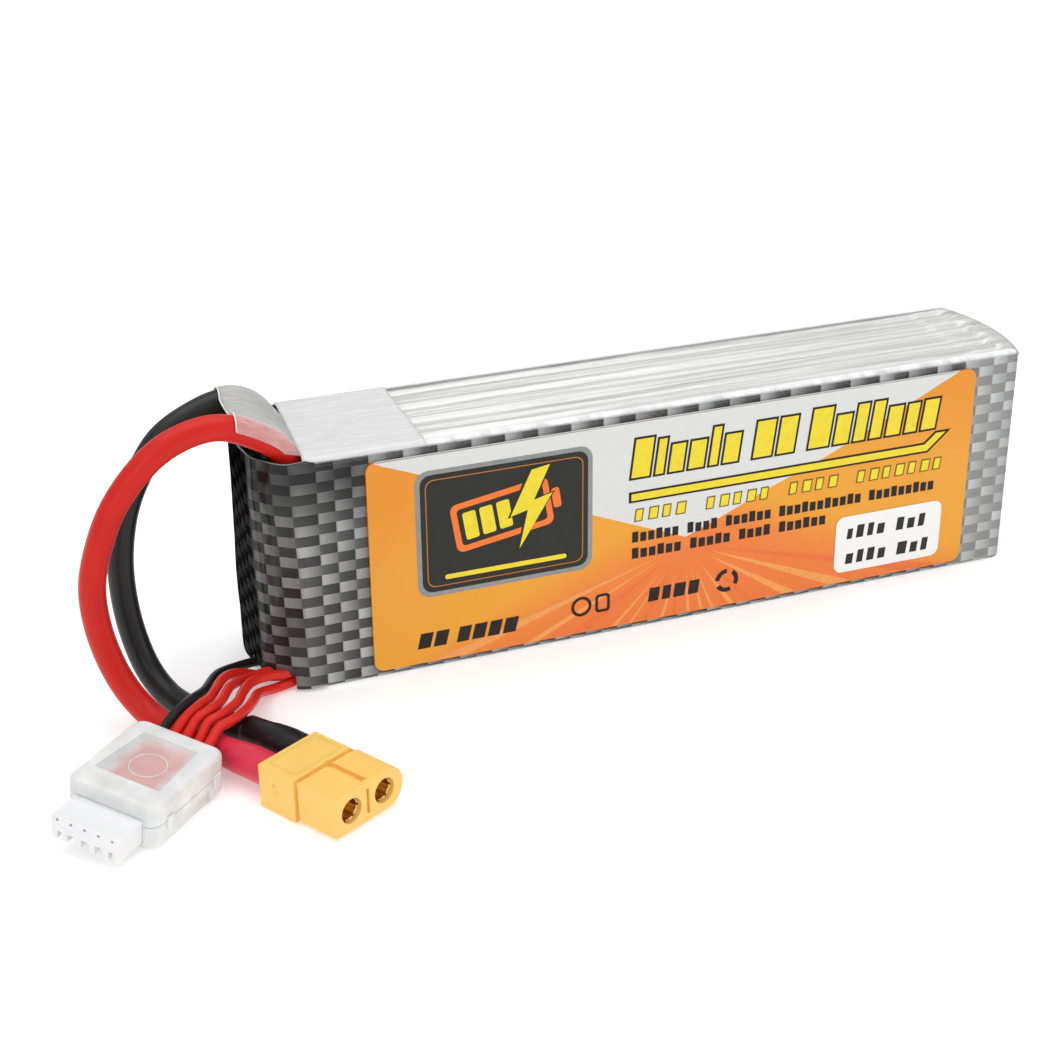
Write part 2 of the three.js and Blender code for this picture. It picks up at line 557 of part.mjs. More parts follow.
function gripCover() {
  const shell = box(GRIP.back, -GRIP.half, GRIP.coverLow, GRIP.front, GRIP.half, GRIP.top);
  const hollow = box(GRIP.back + GRIP.wall, -GRIP.half + GRIP.wall, GRIP.coverLow - 1,
    GRIP.front - GRIP.wall, GRIP.half - GRIP.wall, COVER_ROOF);
  const mouthLow = GRIP.coverLow - 1;
  const plugMouth = box(GRIP.front - 2, -MOUTH.half, mouthLow, GRIP.front + 1, MOUTH.half, MOUTH.plugHigh);
  const wireMouth = box(GRIP.back - 1, -MOUTH.half, mouthLow, GRIP.back + 2, MOUTH.half, COVER_ROOF);
  const floor = GRIP.top - WINDOW.depth;
  const recess = extrude(polygon([
    [WINDOW.back, -WINDOW.backHalf], [WINDOW.front, -WINDOW.frontHalf],
    [WINDOW.front, WINDOW.frontHalf], [WINDOW.back, WINDOW.backHalf],
  ]), 1).translate(0, 0, floor);
  const tray = toSolid(carve([shell], [hollow, plugMouth, wireMouth, recess]));
  const band = new THREE.Shape();
  band.absarc(RING.along, RING.across, RING.outer, 0, 2 * Math.PI, false);
  const hole = new THREE.Path();
  hole.absarc(RING.along, RING.across, RING.inner, 0, 2 * Math.PI, true);
  band.holes.push(hole);
  const ring = extrude(band, RING.rise + 0.1, 16).translate(0, 0, floor - 0.1);
  return toGeometry(tray.add(toSolid(ring)));
}

addMesh(balanceConnector, 'grip_base', gripBase(), FINISH.grip);
addMesh(balanceConnector, 'grip_cover', gripCover(), FINISH.grip);

export default model;
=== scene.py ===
"""Looks of the four-cell lithium polymer pack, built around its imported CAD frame.

Lengths in the code are millimetres until a point becomes a vector in metres.
Three local frames are used: the pack's, the main connector's and the balance plug's.
"""
import json
import math
import random
from collections import defaultdict

import bmesh
import bpy
from mathutils import Matrix, Vector, noise
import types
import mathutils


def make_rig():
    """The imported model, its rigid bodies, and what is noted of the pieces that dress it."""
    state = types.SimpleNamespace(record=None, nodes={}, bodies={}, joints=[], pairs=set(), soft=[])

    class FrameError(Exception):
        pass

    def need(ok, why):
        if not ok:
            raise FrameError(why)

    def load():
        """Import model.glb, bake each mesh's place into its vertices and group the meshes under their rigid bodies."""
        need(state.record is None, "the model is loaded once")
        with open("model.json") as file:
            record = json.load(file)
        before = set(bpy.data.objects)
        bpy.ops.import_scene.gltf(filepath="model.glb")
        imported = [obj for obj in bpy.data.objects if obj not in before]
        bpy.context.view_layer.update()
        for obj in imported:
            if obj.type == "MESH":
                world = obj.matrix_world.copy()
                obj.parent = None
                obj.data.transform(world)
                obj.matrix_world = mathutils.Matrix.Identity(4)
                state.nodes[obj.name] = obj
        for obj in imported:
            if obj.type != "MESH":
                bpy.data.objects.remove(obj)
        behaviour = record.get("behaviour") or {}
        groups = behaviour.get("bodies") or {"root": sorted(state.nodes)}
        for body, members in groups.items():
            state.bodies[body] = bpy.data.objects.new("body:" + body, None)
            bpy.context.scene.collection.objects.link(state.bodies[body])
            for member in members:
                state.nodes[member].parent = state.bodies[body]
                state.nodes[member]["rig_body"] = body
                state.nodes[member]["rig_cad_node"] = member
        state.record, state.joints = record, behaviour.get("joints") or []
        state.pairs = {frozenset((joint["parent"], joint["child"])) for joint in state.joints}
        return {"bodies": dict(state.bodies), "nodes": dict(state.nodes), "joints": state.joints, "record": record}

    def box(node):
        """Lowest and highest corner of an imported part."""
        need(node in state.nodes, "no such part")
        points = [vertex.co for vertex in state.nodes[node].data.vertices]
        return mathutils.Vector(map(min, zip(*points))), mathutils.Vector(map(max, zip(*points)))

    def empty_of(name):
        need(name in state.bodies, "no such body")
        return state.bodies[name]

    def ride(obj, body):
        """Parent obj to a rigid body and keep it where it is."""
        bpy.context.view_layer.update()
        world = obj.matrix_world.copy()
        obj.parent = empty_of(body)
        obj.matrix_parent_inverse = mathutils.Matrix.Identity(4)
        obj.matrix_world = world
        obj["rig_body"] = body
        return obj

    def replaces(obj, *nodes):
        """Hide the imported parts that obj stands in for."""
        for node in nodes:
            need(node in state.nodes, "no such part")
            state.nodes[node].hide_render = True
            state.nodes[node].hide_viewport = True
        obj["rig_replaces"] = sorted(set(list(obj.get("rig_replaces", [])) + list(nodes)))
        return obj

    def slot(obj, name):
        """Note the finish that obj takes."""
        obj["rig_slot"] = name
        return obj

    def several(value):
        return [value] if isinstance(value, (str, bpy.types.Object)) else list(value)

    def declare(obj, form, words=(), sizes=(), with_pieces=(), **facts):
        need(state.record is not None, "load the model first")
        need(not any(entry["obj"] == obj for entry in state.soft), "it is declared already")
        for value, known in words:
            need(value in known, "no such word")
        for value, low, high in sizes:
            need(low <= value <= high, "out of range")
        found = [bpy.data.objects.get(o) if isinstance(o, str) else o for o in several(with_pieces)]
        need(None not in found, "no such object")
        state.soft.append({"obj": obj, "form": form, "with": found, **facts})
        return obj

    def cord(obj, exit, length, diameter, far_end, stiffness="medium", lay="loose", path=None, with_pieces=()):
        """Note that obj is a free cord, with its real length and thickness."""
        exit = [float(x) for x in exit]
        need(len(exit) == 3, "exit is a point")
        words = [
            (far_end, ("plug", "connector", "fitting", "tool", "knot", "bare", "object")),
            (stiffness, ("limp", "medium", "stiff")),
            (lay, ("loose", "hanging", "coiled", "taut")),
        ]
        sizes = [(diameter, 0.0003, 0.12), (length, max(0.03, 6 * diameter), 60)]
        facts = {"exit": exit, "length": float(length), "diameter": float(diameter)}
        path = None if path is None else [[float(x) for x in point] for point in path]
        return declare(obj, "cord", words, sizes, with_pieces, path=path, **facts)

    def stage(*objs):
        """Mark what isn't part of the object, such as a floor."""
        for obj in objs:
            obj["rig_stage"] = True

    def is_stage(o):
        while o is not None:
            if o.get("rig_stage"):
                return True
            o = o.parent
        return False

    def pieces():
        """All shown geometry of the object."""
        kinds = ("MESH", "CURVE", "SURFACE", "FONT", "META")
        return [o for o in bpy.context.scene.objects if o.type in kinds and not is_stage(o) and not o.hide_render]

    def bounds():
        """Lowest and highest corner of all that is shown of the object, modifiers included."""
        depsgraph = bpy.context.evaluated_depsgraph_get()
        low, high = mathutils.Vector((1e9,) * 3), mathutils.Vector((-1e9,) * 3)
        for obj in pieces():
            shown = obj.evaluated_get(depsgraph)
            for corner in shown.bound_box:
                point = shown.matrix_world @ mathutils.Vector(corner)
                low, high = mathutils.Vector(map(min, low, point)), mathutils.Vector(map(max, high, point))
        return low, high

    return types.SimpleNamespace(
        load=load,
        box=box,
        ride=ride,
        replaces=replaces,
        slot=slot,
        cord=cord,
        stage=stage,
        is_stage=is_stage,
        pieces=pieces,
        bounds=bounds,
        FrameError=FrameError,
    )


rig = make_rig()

MM = 0.001
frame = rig.load()
cad_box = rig.bounds()
nodes = frame["nodes"]

# ---- local frames ---------------------------------------------------------

FILM_START = 3.4
PACK_LENGTH = 137.2
film_low, film_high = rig.box("clear_shrink_film")
PACK_HEIGHT = film_high.z / MM
PACK_THICK = (film_high.y - film_low.y) / MM
PACK_ORIGIN = Vector((film_low.x - FILM_START * MM, film_low.y, 0))
ROW = Matrix.Scale(MM, 4)
PACK = Matrix.Translation(PACK_ORIGIN) @ ROW


def local_frame(x, y, z, turn, tilt=0.0):
    """A frame at a place of the row, turned about the vertical and tilted about its own x axis."""
    return (Matrix.Translation((x * MM, y * MM, z * MM)) @ Matrix.Rotation(math.radians(turn), 4, "Z")
            @ Matrix.Rotation(math.radians(tilt), 4, "X") @ ROW)


MAIN = local_frame(-82.8, -44.55, 0, turn=-60.5)
GRIP = local_frame(-110.7, -49.2, 0.945, turn=-136.8, tilt=-6.4)


def clamped(value, low=0.0, high=1.0):
    return max(low, min(high, value))


def waves(*place):
    """Smooth unevenness between about -1 and 1 at a place."""
    return noise.noise(Vector(place))


def link(name, data):
    """A scene object that holds the data."""
    made = bpy.data.objects.new(name, data)
    bpy.context.scene.collection.objects.link(made)
    return made


# ---- camera, light and floor ----------------------------------------------

# The camera's azimuth, elevation and roll are in degrees.
CAMERA_PLACE = (-133.0, -296.8, 170.1)
CAMERA_ANGLES = (-20.636, 25.756, -0.520)
CAMERA_LENS = 66.24
WORLD_STRENGTH = 0.6
FLOOR_HALF = 3.0
FLOOR_DROP = 0.0002
# Name, place, target, size and watts of each soft light, in metres.
LIGHTS = (("overhead", (-0.02, 0.05, 0.75), (-0.02, 0, 0.02), (0.9, 0.7), 3.2),
          ("front_left", (-0.55, -0.7, 0.45), (-0.03, 0, 0.02), (0.4, 0.5), 1.2),
          ("front_right", (0.6, -0.6, 0.35), (0.03, 0, 0.02), (0.35, 0.45), 0.8))


def make_camera():
    data = bpy.data.cameras.new("photo_camera")
    data.lens = CAMERA_LENS
    data.sensor_width = 36
    data.clip_start = 0.01
    camera = link("photo_camera", data)
    camera.location = Vector(CAMERA_PLACE) * MM
    azimuth, elevation, roll = map(math.radians, CAMERA_ANGLES)
    forward = Vector((-math.sin(azimuth) * math.cos(elevation),
                      math.cos(azimuth) * math.cos(elevation), -math.sin(elevation)))
    turn = forward.to_track_quat("-Z", "Y").to_matrix()
    camera.rotation_euler = (turn @ Matrix.Rotation(roll, 3, "Z")).to_euler()
    bpy.context.scene.camera = camera


def add_light(name, place, target, size, watts):
    data = bpy.data.lights.new(name, "AREA")
    data.shape = "RECTANGLE"
    data.size, data.size_y = size
    data.energy = watts
    light = link(name, data)
    light.location = place
    light.rotation_euler = (Vector(target) - Vector(place)).to_track_quat("-Z", "Y").to_euler()


def make_stage():
    world = bpy.data.worlds.new("studio")
    bpy.context.scene.world = world
    world.use_nodes = True
    background = world.node_tree.nodes["Background"].inputs
    background["Color"].default_value = (1, 1, 1, 1)
    background["Strength"].default_value = WORLD_STRENGTH
    for light in LIGHTS:
        add_light(*light)
    mesh = bpy.data.meshes.new("floor")
    corners = [(-1, -1), (1, -1), (1, 1), (-1, 1)]
    mesh.from_pydata([(a * FLOOR_HALF, b * FLOOR_HALF, 0) for a, b in corners], [], [(0, 1, 2, 3)])
    mesh.materials.append(glowing_floor())
    floor = link("floor", mesh)
    floor.location.z = -FLOOR_DROP
    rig.stage(floor)
    settings = bpy.context.scene.view_settings
    settings.view_transform = "Standard"
    settings.look = "None"


# ---- shader nodes ---------------------------------------------------------

# Object coordinates are metres, so this scale makes them millimetres.
TO_MM = (1000, 1000, 1000)


def shade(colour, factor):
    return tuple(min(1.0, c * factor) for c in colour)


class Value:
    """A node's output that takes part in sums, so that a chain of nodes reads as a formula."""

    def __init__(self, shader, socket):
        self.shader = shader
        self.socket = socket

    def math(self, operation, other=None):
        return self.shader.math(operation, self, other)

    def __add__(self, other):
        return self.math("ADD", other)

    def __sub__(self, other):
        return self.math("SUBTRACT", other)

    def __rsub__(self, other):
        return self.shader.math("SUBTRACT", other, self)

    def __mul__(self, other):
        return self.math("MULTIPLY", other)

    def __truediv__(self, other):
        return self.math("DIVIDE", other)

    def __abs__(self):
        return self.math("ABSOLUTE")

    def span(self, low, high, from_low=0.0, from_high=1.0):
        """Low to high, as this value goes between its own two bounds."""
        inputs = {"Value": self, "From Min": from_low, "From Max": from_high, "To Min": low, "To Max": high}
        return self.shader.value("MapRange", "Result", inputs)


class Shader:
    """A Principled material, and short names for the nodes that feed it."""

    def __init__(self, name, colour, roughness, **values):
        self.material = bpy.data.materials.new(name)
        self.material.use_nodes = True
        self.tree = self.material.node_tree
        self.feed(colour, "Base Color")
        self.feed(roughness, "Roughness")
        for socket, value in values.items():
            self.feed(value, socket.replace("_", " "))

    def put(self, value, socket):
        """Gives a socket a fixed value, or links the node's output that feeds it."""
        if isinstance(value, Value):
            self.tree.links.new(value.socket, socket)
        elif socket.type == "RGBA":
            socket.default_value = (*value, 1.0)
        else:
            socket.default_value = value

    def feed(self, value, socket):
        self.put(value, self.tree.nodes["Principled BSDF"].inputs[socket])

    def node(self, kind, inputs, **settings):
        made = self.tree.nodes.new("ShaderNode" + kind)
        for key, value in settings.items():
            setattr(made, key, value)
        for socket, value in inputs.items():
            self.put(value, made.inputs[socket])
        return made

    def value(self, kind, output, inputs, **settings):
        return Value(self, self.node(kind, inputs, **settings).outputs[output])

    def coordinates(self, kind="Object", scale=(1, 1, 1)):
        source = self.value("TexCoord", kind, {})
        return self.value("Mapping", "Vector", {"Vector": source, "Scale": scale})

    def axes(self, kind="Object", scale=TO_MM):
        """The coordinates, one value for each axis."""
        split = self.node("SeparateXYZ", {0: self.coordinates(kind, scale)})
        return [Value(self, output) for output in split.outputs]

    def noise(self, vector, scale, detail=3.0, distortion=0.0):
        return self.value("TexNoise", "Fac", {"Vector": vector, "Scale": scale, "Detail": detail,
                                              "Distortion": distortion})

    def math(self, operation, a, b=None):
        inputs = {0: a} if b is None else {0: a, 1: b}
        return self.value("Math", 0, inputs, operation=operation)

    def ramp(self, source, stops):
        made = self.node("ValToRGB", {"Fac": source})
        elements = made.color_ramp.elements
        while len(elements) < len(stops):
            elements.new(0.5)
        for element, (place, colour) in zip(elements, stops):
            element.position = place
            element.color = (*colour, 1.0)
        return Value(self, made.outputs["Color"])

    def mottle(self, cloud, colour, low, high):
        """Colours the material between two shades of one colour."""
        self.feed(self.ramp(cloud, [(0.3, shade(colour, low)), (0.7, shade(colour, high))]), "Base Color")

    def mix(self, factor, a, b, blend="MIX"):
        made = self.node("Mix", {}, data_type="RGBA", blend_type=blend)
        targets = [s for s in made.inputs if s.type == "RGBA"]
        for value, target in ((factor, made.inputs["Factor"]), (a, targets[0]), (b, targets[1])):
            self.put(value, target)
        return Value(self, [s for s in made.outputs if s.type == "RGBA"][0])

    def bump(self, height, strength, distance):
        normal = self.value("Bump", "Normal", {"Strength": strength, "Distance": distance, "Height": height})
        self.feed(normal, "Normal")


# ---- materials ------------------------------------------------------------

FOIL_TONES = [(0.32, (0.44, 0.44, 0.43)), (0.5, (0.65, 0.65, 0.635)), (0.68, (0.77, 0.77, 0.75))]
LIGHT_TILE = [(0.0, (0.30, 0.31, 0.31)), (0.12, (0.40, 0.41, 0.41)), (1.0, (0.15, 0.155, 0.155))]
DARK_TILE = [(0.0, (0.12, 0.123, 0.12)), (0.2, (0.085, 0.088, 0.086)), (1.0, (0.035, 0.036, 0.035))]
MILK = [(0.3, (0.82, 0.82, 0.815)), (0.7, (0.90, 0.90, 0.90))]
SUNSET = [(0.0, (0.80, 0.195, 0.048)), (0.12, (0.80, 0.235, 0.042)), (0.28, (0.80, 0.355, 0.036)),
          (0.7, (0.80, 0.345, 0.040)), (1.0, (0.78, 0.29, 0.030))]


def glowing_floor():
    """A white sweep, lit a little from within so that it stays white to the edges."""
    colour = (0.9, 0.9, 0.9)
    shader = Shader("studio_floor", colour, 1.0, Specular_IOR_Level=0.0, Emission_Color=(1, 1, 1),
                    Emission_Strength=0.3)
    shader.mottle(shader.noise(shader.coordinates(), 40), colour, 0.99, 1.0)
    return shader.material


def moulded(name, colour, roughness, grain, depth=0.00003, contrast=0.06, gloss=0.35, **values):
    """A moulded plastic, foam or rubber: faint mottling, uneven gloss and a fine skin."""
    shader = Shader(name, colour, roughness, Specular_IOR_Level=gloss, **values)
    place = shader.coordinates()
    shader.mottle(shader.noise(place, 120, 4), colour, 1 - contrast, 1 + contrast)
    fine = shader.noise(place, grain, 5)
    shader.feed(fine.span(roughness * 0.8, min(1.0, roughness * 1.2)), "Roughness")
    shader.bump(fine, 0.35, depth)
    return shader.material


def metal(name, colour, roughness, grain, stretch=(1, 1, 1)):
    """A plated or rolled metal with marks drawn out along one direction."""
    shader = Shader(name, colour, roughness, Metallic=1.0)
    marks = shader.noise(shader.coordinates(scale=stretch), grain, 4)
    shader.mottle(marks, colour, 0.85, 1.05)
    shader.feed(marks.span(roughness * 0.75, roughness * 1.25), "Roughness")
    shader.bump(marks, 0.25, 0.00002)
    return shader.material


def foil_material():
    """Aluminium laminate: silvery white with long creases along the cell."""
    shader = Shader("pouch_foil", (0.62, 0.62, 0.61), 0.42, Metallic=0.42)
    long_marks = shader.noise(shader.coordinates(scale=(7, 420, 420)), 3.2, 4, 0.4)
    fine = shader.noise(shader.coordinates(scale=(60, 600, 600)), 4, 5)
    shader.feed(shader.ramp(long_marks, FOIL_TONES), "Base Color")
    shader.feed(fine.span(0.3, 0.5), "Roughness")
    shader.bump(long_marks + fine * 0.25, 0.6, 0.0003)
    return shader.material


def carbon_material():
    """Printed weave: a running checker whose tiles fade from light to dark, with shade painted on the nose."""
    shader = Shader("carbon_print", (0.1, 0.1, 0.1), 0.3, Specular_IOR_Level=0.0, Coat_Roughness=0.1)
    run, rise, _ = shader.axes("UV", (1, 1, 1))
    across = run / TILE_WIDTH
    column = across.math("FLOOR")
    row = ((rise - TILE_SHIFT) / TILE_HEIGHT).math("FLOOR")
    fade = across.math("FRACT")
    odd = (column + row).math("PINGPONG", 1.0)
    weave = shader.mix(odd, shader.ramp(fade, DARK_TILE), shader.ramp(fade, LIGHT_TILE))
    tile = shader.value("CombineXYZ", 0, {0: column, 1: row})
    chance = shader.value("TexWhiteNoise", "Value", {"Vector": tile}, noise_dimensions="2D")
    # Painted shade darkens the nose, most at its tip, and the front top corner; paler under the slack film at the
    # tail.
    on_nose = NOSE_ARC - abs(run + NOSE_ARC)
    tip = on_nose.span(1.0, 0.22, NOSE_TIP - 2, NOSE_TIP)
    nose = on_nose.span(1.0, 0.54, -NOSE_SHADE_START, -NOSE_SHADE_END) * tip
    shader.feed(on_nose.span(0.45, 0.0, NOSE_TIP - 2, NOSE_TIP), "Coat Weight")
    beside_label = run.span(0.0, 1.0, LABEL_LEFT + 4, LABEL_LEFT - 2)
    corner = 1.0 - beside_label * rise.span(0.0, 0.75, 29, 39)
    # depth holds the painted shade of the nose and the top corner, times each tile's own random tone.
    depth = nose * corner * chance.span(0.72, 1.18)
    tail = (run.span(0.0, 0.27, LABEL_RIGHT - 4, LABEL_RIGHT + 1)
            * run.span(1.0, 0.0, PACK_LENGTH + 2, PACK_LENGTH + 12))
    grey = shader.value("CombineColor", 0, {0: depth, 1: depth, 2: depth})
    shaded_weave = shader.mix(1.0, weave, grey, "MULTIPLY")
    shader.feed(shader.mix(tail, shaded_weave, (0.78, 0.79, 0.78)), "Base Color")
    thread = shader.value("TexWave", "Fac", {"Scale": 2.2, "Vector": shader.coordinates("UV")},
                          wave_type="BANDS", bands_direction="Y")
    grain = shader.noise(shader.coordinates(scale=TO_MM), 0.9, 3)
    shader.bump(thread * 0.15 + grain, 0.12, 0.0002)
    return shader.material


def film_material(name, clear, haze, edge, roughness, streaks=(30, 30, 30), tone=0.95):
    """Thin glossy film, clear face on and brighter edge on. Returns its shader and its cover."""
    shader = Shader(name, (tone, tone, tone), roughness, IOR=1.5)
    facing = shader.value("LayerWeight", "Facing", {"Blend": 0.3})
    cloud = shader.noise(shader.coordinates(scale=streaks), 6, 4)
    cover = cloud.span(clear, clear + haze, 0.35, 0.65) + facing.math("POWER", 2.0) * edge
    shader.feed(cover.math("MINIMUM", 0.95), "Alpha")
    shader.feed(cloud.span(roughness * 0.7, roughness * 1.5), "Roughness")
    shader.bump(cloud, 0.5, 0.0004)
    return shader, cover


def sleeve_film():
    """The shrunk film, with painted white glare along the pack's long edges."""
    shader, cover = film_material("clear_film", 0.012, 0.035, 0.28, 0.08, (40, 220, 60))
    _, y, z = shader.axes()
    half_width, middle = PACK_THICK / 2, PACK_HEIGHT / 2
    from_middle = abs(z - middle)
    # Painted highlight: the film turns white in blotches along the long edges, and evenly along the far ones.
    sideways = abs(y).span(0.0, 1.0, half_width - 2.3, half_width - 1.7)
    upward = from_middle.span(0.0, 1.0, middle - 0.75, middle - 0.3)
    glare_blotches = shader.noise(shader.coordinates(scale=(90, 30, 30)), 5, 4).span(0.55, 0.95, 0.3, 0.7)
    far_edge = (y.span(0.0, 0.95, half_width - 2.2, half_width - 1.7)
                * from_middle.span(0.0, 1.0, middle - 1.5, middle - 1.2))
    glare = (sideways * upward * glare_blotches).math("MAXIMUM", far_edge)
    shader.feed((cover + glare).math("MINIMUM", 0.95), "Alpha")
    return shader.material


def hood_film():
    """The same film over the leads: nearly clear over the near one, milky over the far one."""
    shader, cover = film_material("loose_film", 0.13, 0.12, 0.3, 0.14, (60, 420, 60), 0.86)
    far = shader.axes()[1].span(0.0, 1.0, -6.0, -2.5)
    shader.feed(shader.mix(far, (0.95, 0.93, 0.92), (0.60, 0.60, 0.585)), "Base Color")
    shader.feed((cover + far * 0.5).math("MINIMUM", 0.9), "Alpha")
    return shader.material


def frosted_material(name, low, high):
    """Milky polypropylene with a wavy skin; low and high bound its cover. Returns its shader and tone."""
    shader = Shader(name, (0.86, 0.86, 0.855), 0.34, Subsurface_Weight=0.2, Subsurface_Scale=0.002)
    cloud = shader.noise(shader.coordinates(), 260, 4)
    milk = shader.ramp(cloud, MILK)
    shader.feed(milk, "Base Color")
    shader.feed(shader.noise(shader.coordinates(), 900, 3).span(0.26, 0.44), "Roughness")
    shader.feed(cloud.span(low, high, 0.3, 0.7), "Alpha")
    shader.bump(cloud, 0.35, 0.0004)
    return shader, milk


def window_material():
    """The window's floor: the wires close under it show as a soft pink and grey blush."""
    shader, milk = frosted_material("frosted_window", 0.74, 0.84)
    across, along, _ = shader.axes("UV", (1, 1, 1))
    drift = (shader.noise(shader.coordinates("UV"), 0.35, 2) - 0.5) * 3.0
    over_wires = abs(across - 0.8 + drift).span(1.0, 0.0, 3.2, 5.4)
    forward = (along + drift).span(0.25, 0.85, GRIP_BACK + 3.5, GRIP_BACK + 6.5)
    greyed = shader.mix(across.span(0.35, 0.0, -4.2, -2.4), milk, (0.50, 0.51, 0.52))
    shader.feed(shader.mix(over_wires * forward, greyed, (0.79, 0.41, 0.39)), "Base Color")
    return shader.material


def varnished(name, colour, roughness, smoothest, roughest):
    """A print under a thin gloss varnish. Returns its shader and its mottle."""
    shader = Shader(name, colour, roughness, Specular_IOR_Level=0.2, Coat_Weight=0.06, Coat_Roughness=0.12)
    mottle = shader.noise(shader.coordinates(), 700, 3)
    shader.feed(mottle.span(smoothest, roughest), "Roughness")
    shader.bump(shader.noise(shader.coordinates(), 60, 2), 0.15, 0.0003)
    return shader, mottle


def ink(name, colour, roughness=0.28, drift=0.05):
    """A printed colour with a slight mottle."""
    shader, mottle = varnished(name, colour, roughness, roughness * 0.85, roughness * 1.2)
    shader.mottle(mottle, colour, 1 - drift, 1 + drift)
    return shader.material


def sunset_material():
    """The label's ground: amber, turning redder in the fan under the horizon."""
    shader, _ = varnished("printed_label", (0.9, 0.4, 0.08), 0.28, 0.24, 0.33)
    x, _, z = shader.axes()
    aside = abs(x - (PACK_ORIGIN.x / MM + HORIZON[0] + 5))
    below = HORIZON[1] + 3 - z
    shader.feed(shader.ramp((aside - below * 2.4).span(0.0, 1.0, -12.0, 90.0), SUNSET), "Base Color")
    return shader.material


# ---- mesh helpers ---------------------------------------------------------

# Where a point of a flat outline lands once it has a depth.
def in_plan(a, b, depth):
    return a, b, depth


def upright(a, b, depth):
    return a, depth, b


def end_on(a, b, depth):
    return depth, a, b


# Materials that fill another one's slot; the printed label's inks fill the label's.
SHARED_SLOTS = {"frosted_window": "frosted_grip", "film_rim": "clear_film", "loose_film": "clear_film",
                "film_hem": "clear_film", "sticker_white": "white_sticker"}


def slot_of(material):
    """A material's slot has its plain name, without the number that Blender adds to a used one."""
    name = material.name.partition(".")[0]
    if name.startswith("ink_"):
        return "printed_label"
    return SHARED_SLOTS.get(name, name)


def mesh_object(name, bm, place):
    """Turns a bmesh drawn in a local frame into an object in the row frame."""
    bm.transform(place)
    bmesh.ops.recalc_face_normals(bm, faces=bm.faces)
    mesh = bpy.data.meshes.new(name)
    bm.to_mesh(mesh)
    bm.free()
    return link(name, mesh)


def dress(piece, material, body, stands_for):
    """Gives a piece its material and slot, the body that carries it and the nodes that it stands for."""
    piece.data.materials.append(material)
    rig.ride(piece, body)
    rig.slot(piece, slot_of(material))
    if stands_for:
        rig.replaces(piece, *stands_for)
    return piece


def finish(name, bm, place, material, *stands_for, body="pack", smooth=True):
    piece = mesh_object(name, bm, place)
    for face in piece.data.polygons:
        face.use_smooth = smooth
    return dress(piece, material, body, stands_for)


def sweep(bm, rings, closed=False):
    """Skins rings of equal size into a tube, with flat ends where it isn't closed."""
    verts = [[bm.verts.new(p) for p in ring] for ring in rings]
    count = len(rings[0])
    pairs = list(zip(verts, verts[1:]))
    if closed:
        pairs.append((verts[-1], verts[0]))
    for first, second in pairs:
        for i in range(count):
            j = (i + 1) % count
            bm.faces.new((first[i], first[j], second[j], second[i]))
    if not closed:
        bm.faces.new(verts[0][::-1])
        bm.faces.new(verts[-1])


def add_prism(bm, loop, low, high, to_point):
    """A closed slab: loop is a list of (a, b), and to_point places (a, b, depth)."""
    sweep(bm, [[to_point(a, b, depth) for a, b in loop] for depth in (low, high)])


def add_frame(bm, outer, inner, low, high, to_point):
    """A closed slab between two loops of equal length."""
    edges = ((outer, low), (outer, high), (inner, high), (inner, low))
    sweep(bm, [[to_point(a, b, depth) for a, b in loop] for loop, depth in edges], closed=True)


def add_box(bm, low, high):
    loop = [(low[0], low[1]), (high[0], low[1]), (high[0], high[1]), (low[0], high[1])]
    add_prism(bm, loop, low[2], high[2], in_plan)


def add_sheet(bm, top, foot):
    """A closed slab between two grids of points of the same size."""
    top = [[bm.verts.new(p) for p in row] for row in top]
    foot = [[bm.verts.new(p) for p in row] for row in foot]
    rows, columns = len(top) - 1, len(top[0]) - 1
    for i in range(rows):
        for j in range(columns):
            bm.faces.new((top[i][j], top[i + 1][j], top[i + 1][j + 1], top[i][j + 1]))
            bm.faces.new((foot[i][j + 1], foot[i + 1][j + 1], foot[i + 1][j], foot[i][j]))
    rim = [(i, 0) for i in range(rows)] + [(rows, j) for j in range(columns)]
    rim += [(i, columns) for i in range(rows, 0, -1)] + [(0, j) for j in range(columns, 0, -1)]
    for (i, j), (k, m) in zip(rim, rim[1:] + rim[:1]):
        bm.faces.new((top[i][j], foot[i][j], foot[k][m], top[k][m]))


def arc(x, z, radius, start, end, steps, height=None):
    """Points along an arc, from one angle in degrees to another; height makes it an ellipse."""
    angles = [math.radians(start + (end - start) * step / steps) for step in range(steps + 1)]
    return [(x + radius * math.cos(a), z + (height or radius) * math.sin(a)) for a in angles]


def circle(x, z, radius, steps=32):
    return arc(x, z, radius, 0, 360, steps)[:-1]


def rounded(left, low, right, high, radius, steps=5):
    """A rectangle with round corners, anticlockwise."""
    corners = ((right - radius, low + radius, -90), (right - radius, high - radius, 0),
               (left + radius, high - radius, 90), (left + radius, low + radius, 180))
    return [point for x, z, start in corners for point in arc(x, z, radius, start, start + 90, steps)]


def frames_along(path):
    """A steady pair of side directions at each point of a path."""
    tangents = [(after - before).normalized()
                for before, after in zip(path[:1] + path, path[1:] + path[-1:])]
    side = tangents[0].orthogonal().normalized()
    frames = []
    for tangent in tangents:
        side = (side - tangent * side.dot(tangent)).normalized()
        frames.append((side, tangent.cross(side)))
    return frames


def rings_along(path, radii, sides):
    """A round section of its own radius at each point of a path."""
    return [[point + side * a + up * b for a, b in circle(0, 0, radius, sides)]
            for point, radius, (side, up) in zip(path, radii, frames_along(path))]


def bead(name, path, radius, place, material):
    """A thin round bead along a path."""
    bm = bmesh.new()
    sweep(bm, rings_along(path, [radius] * len(path), 8))
    return finish(name, bm, place, material)


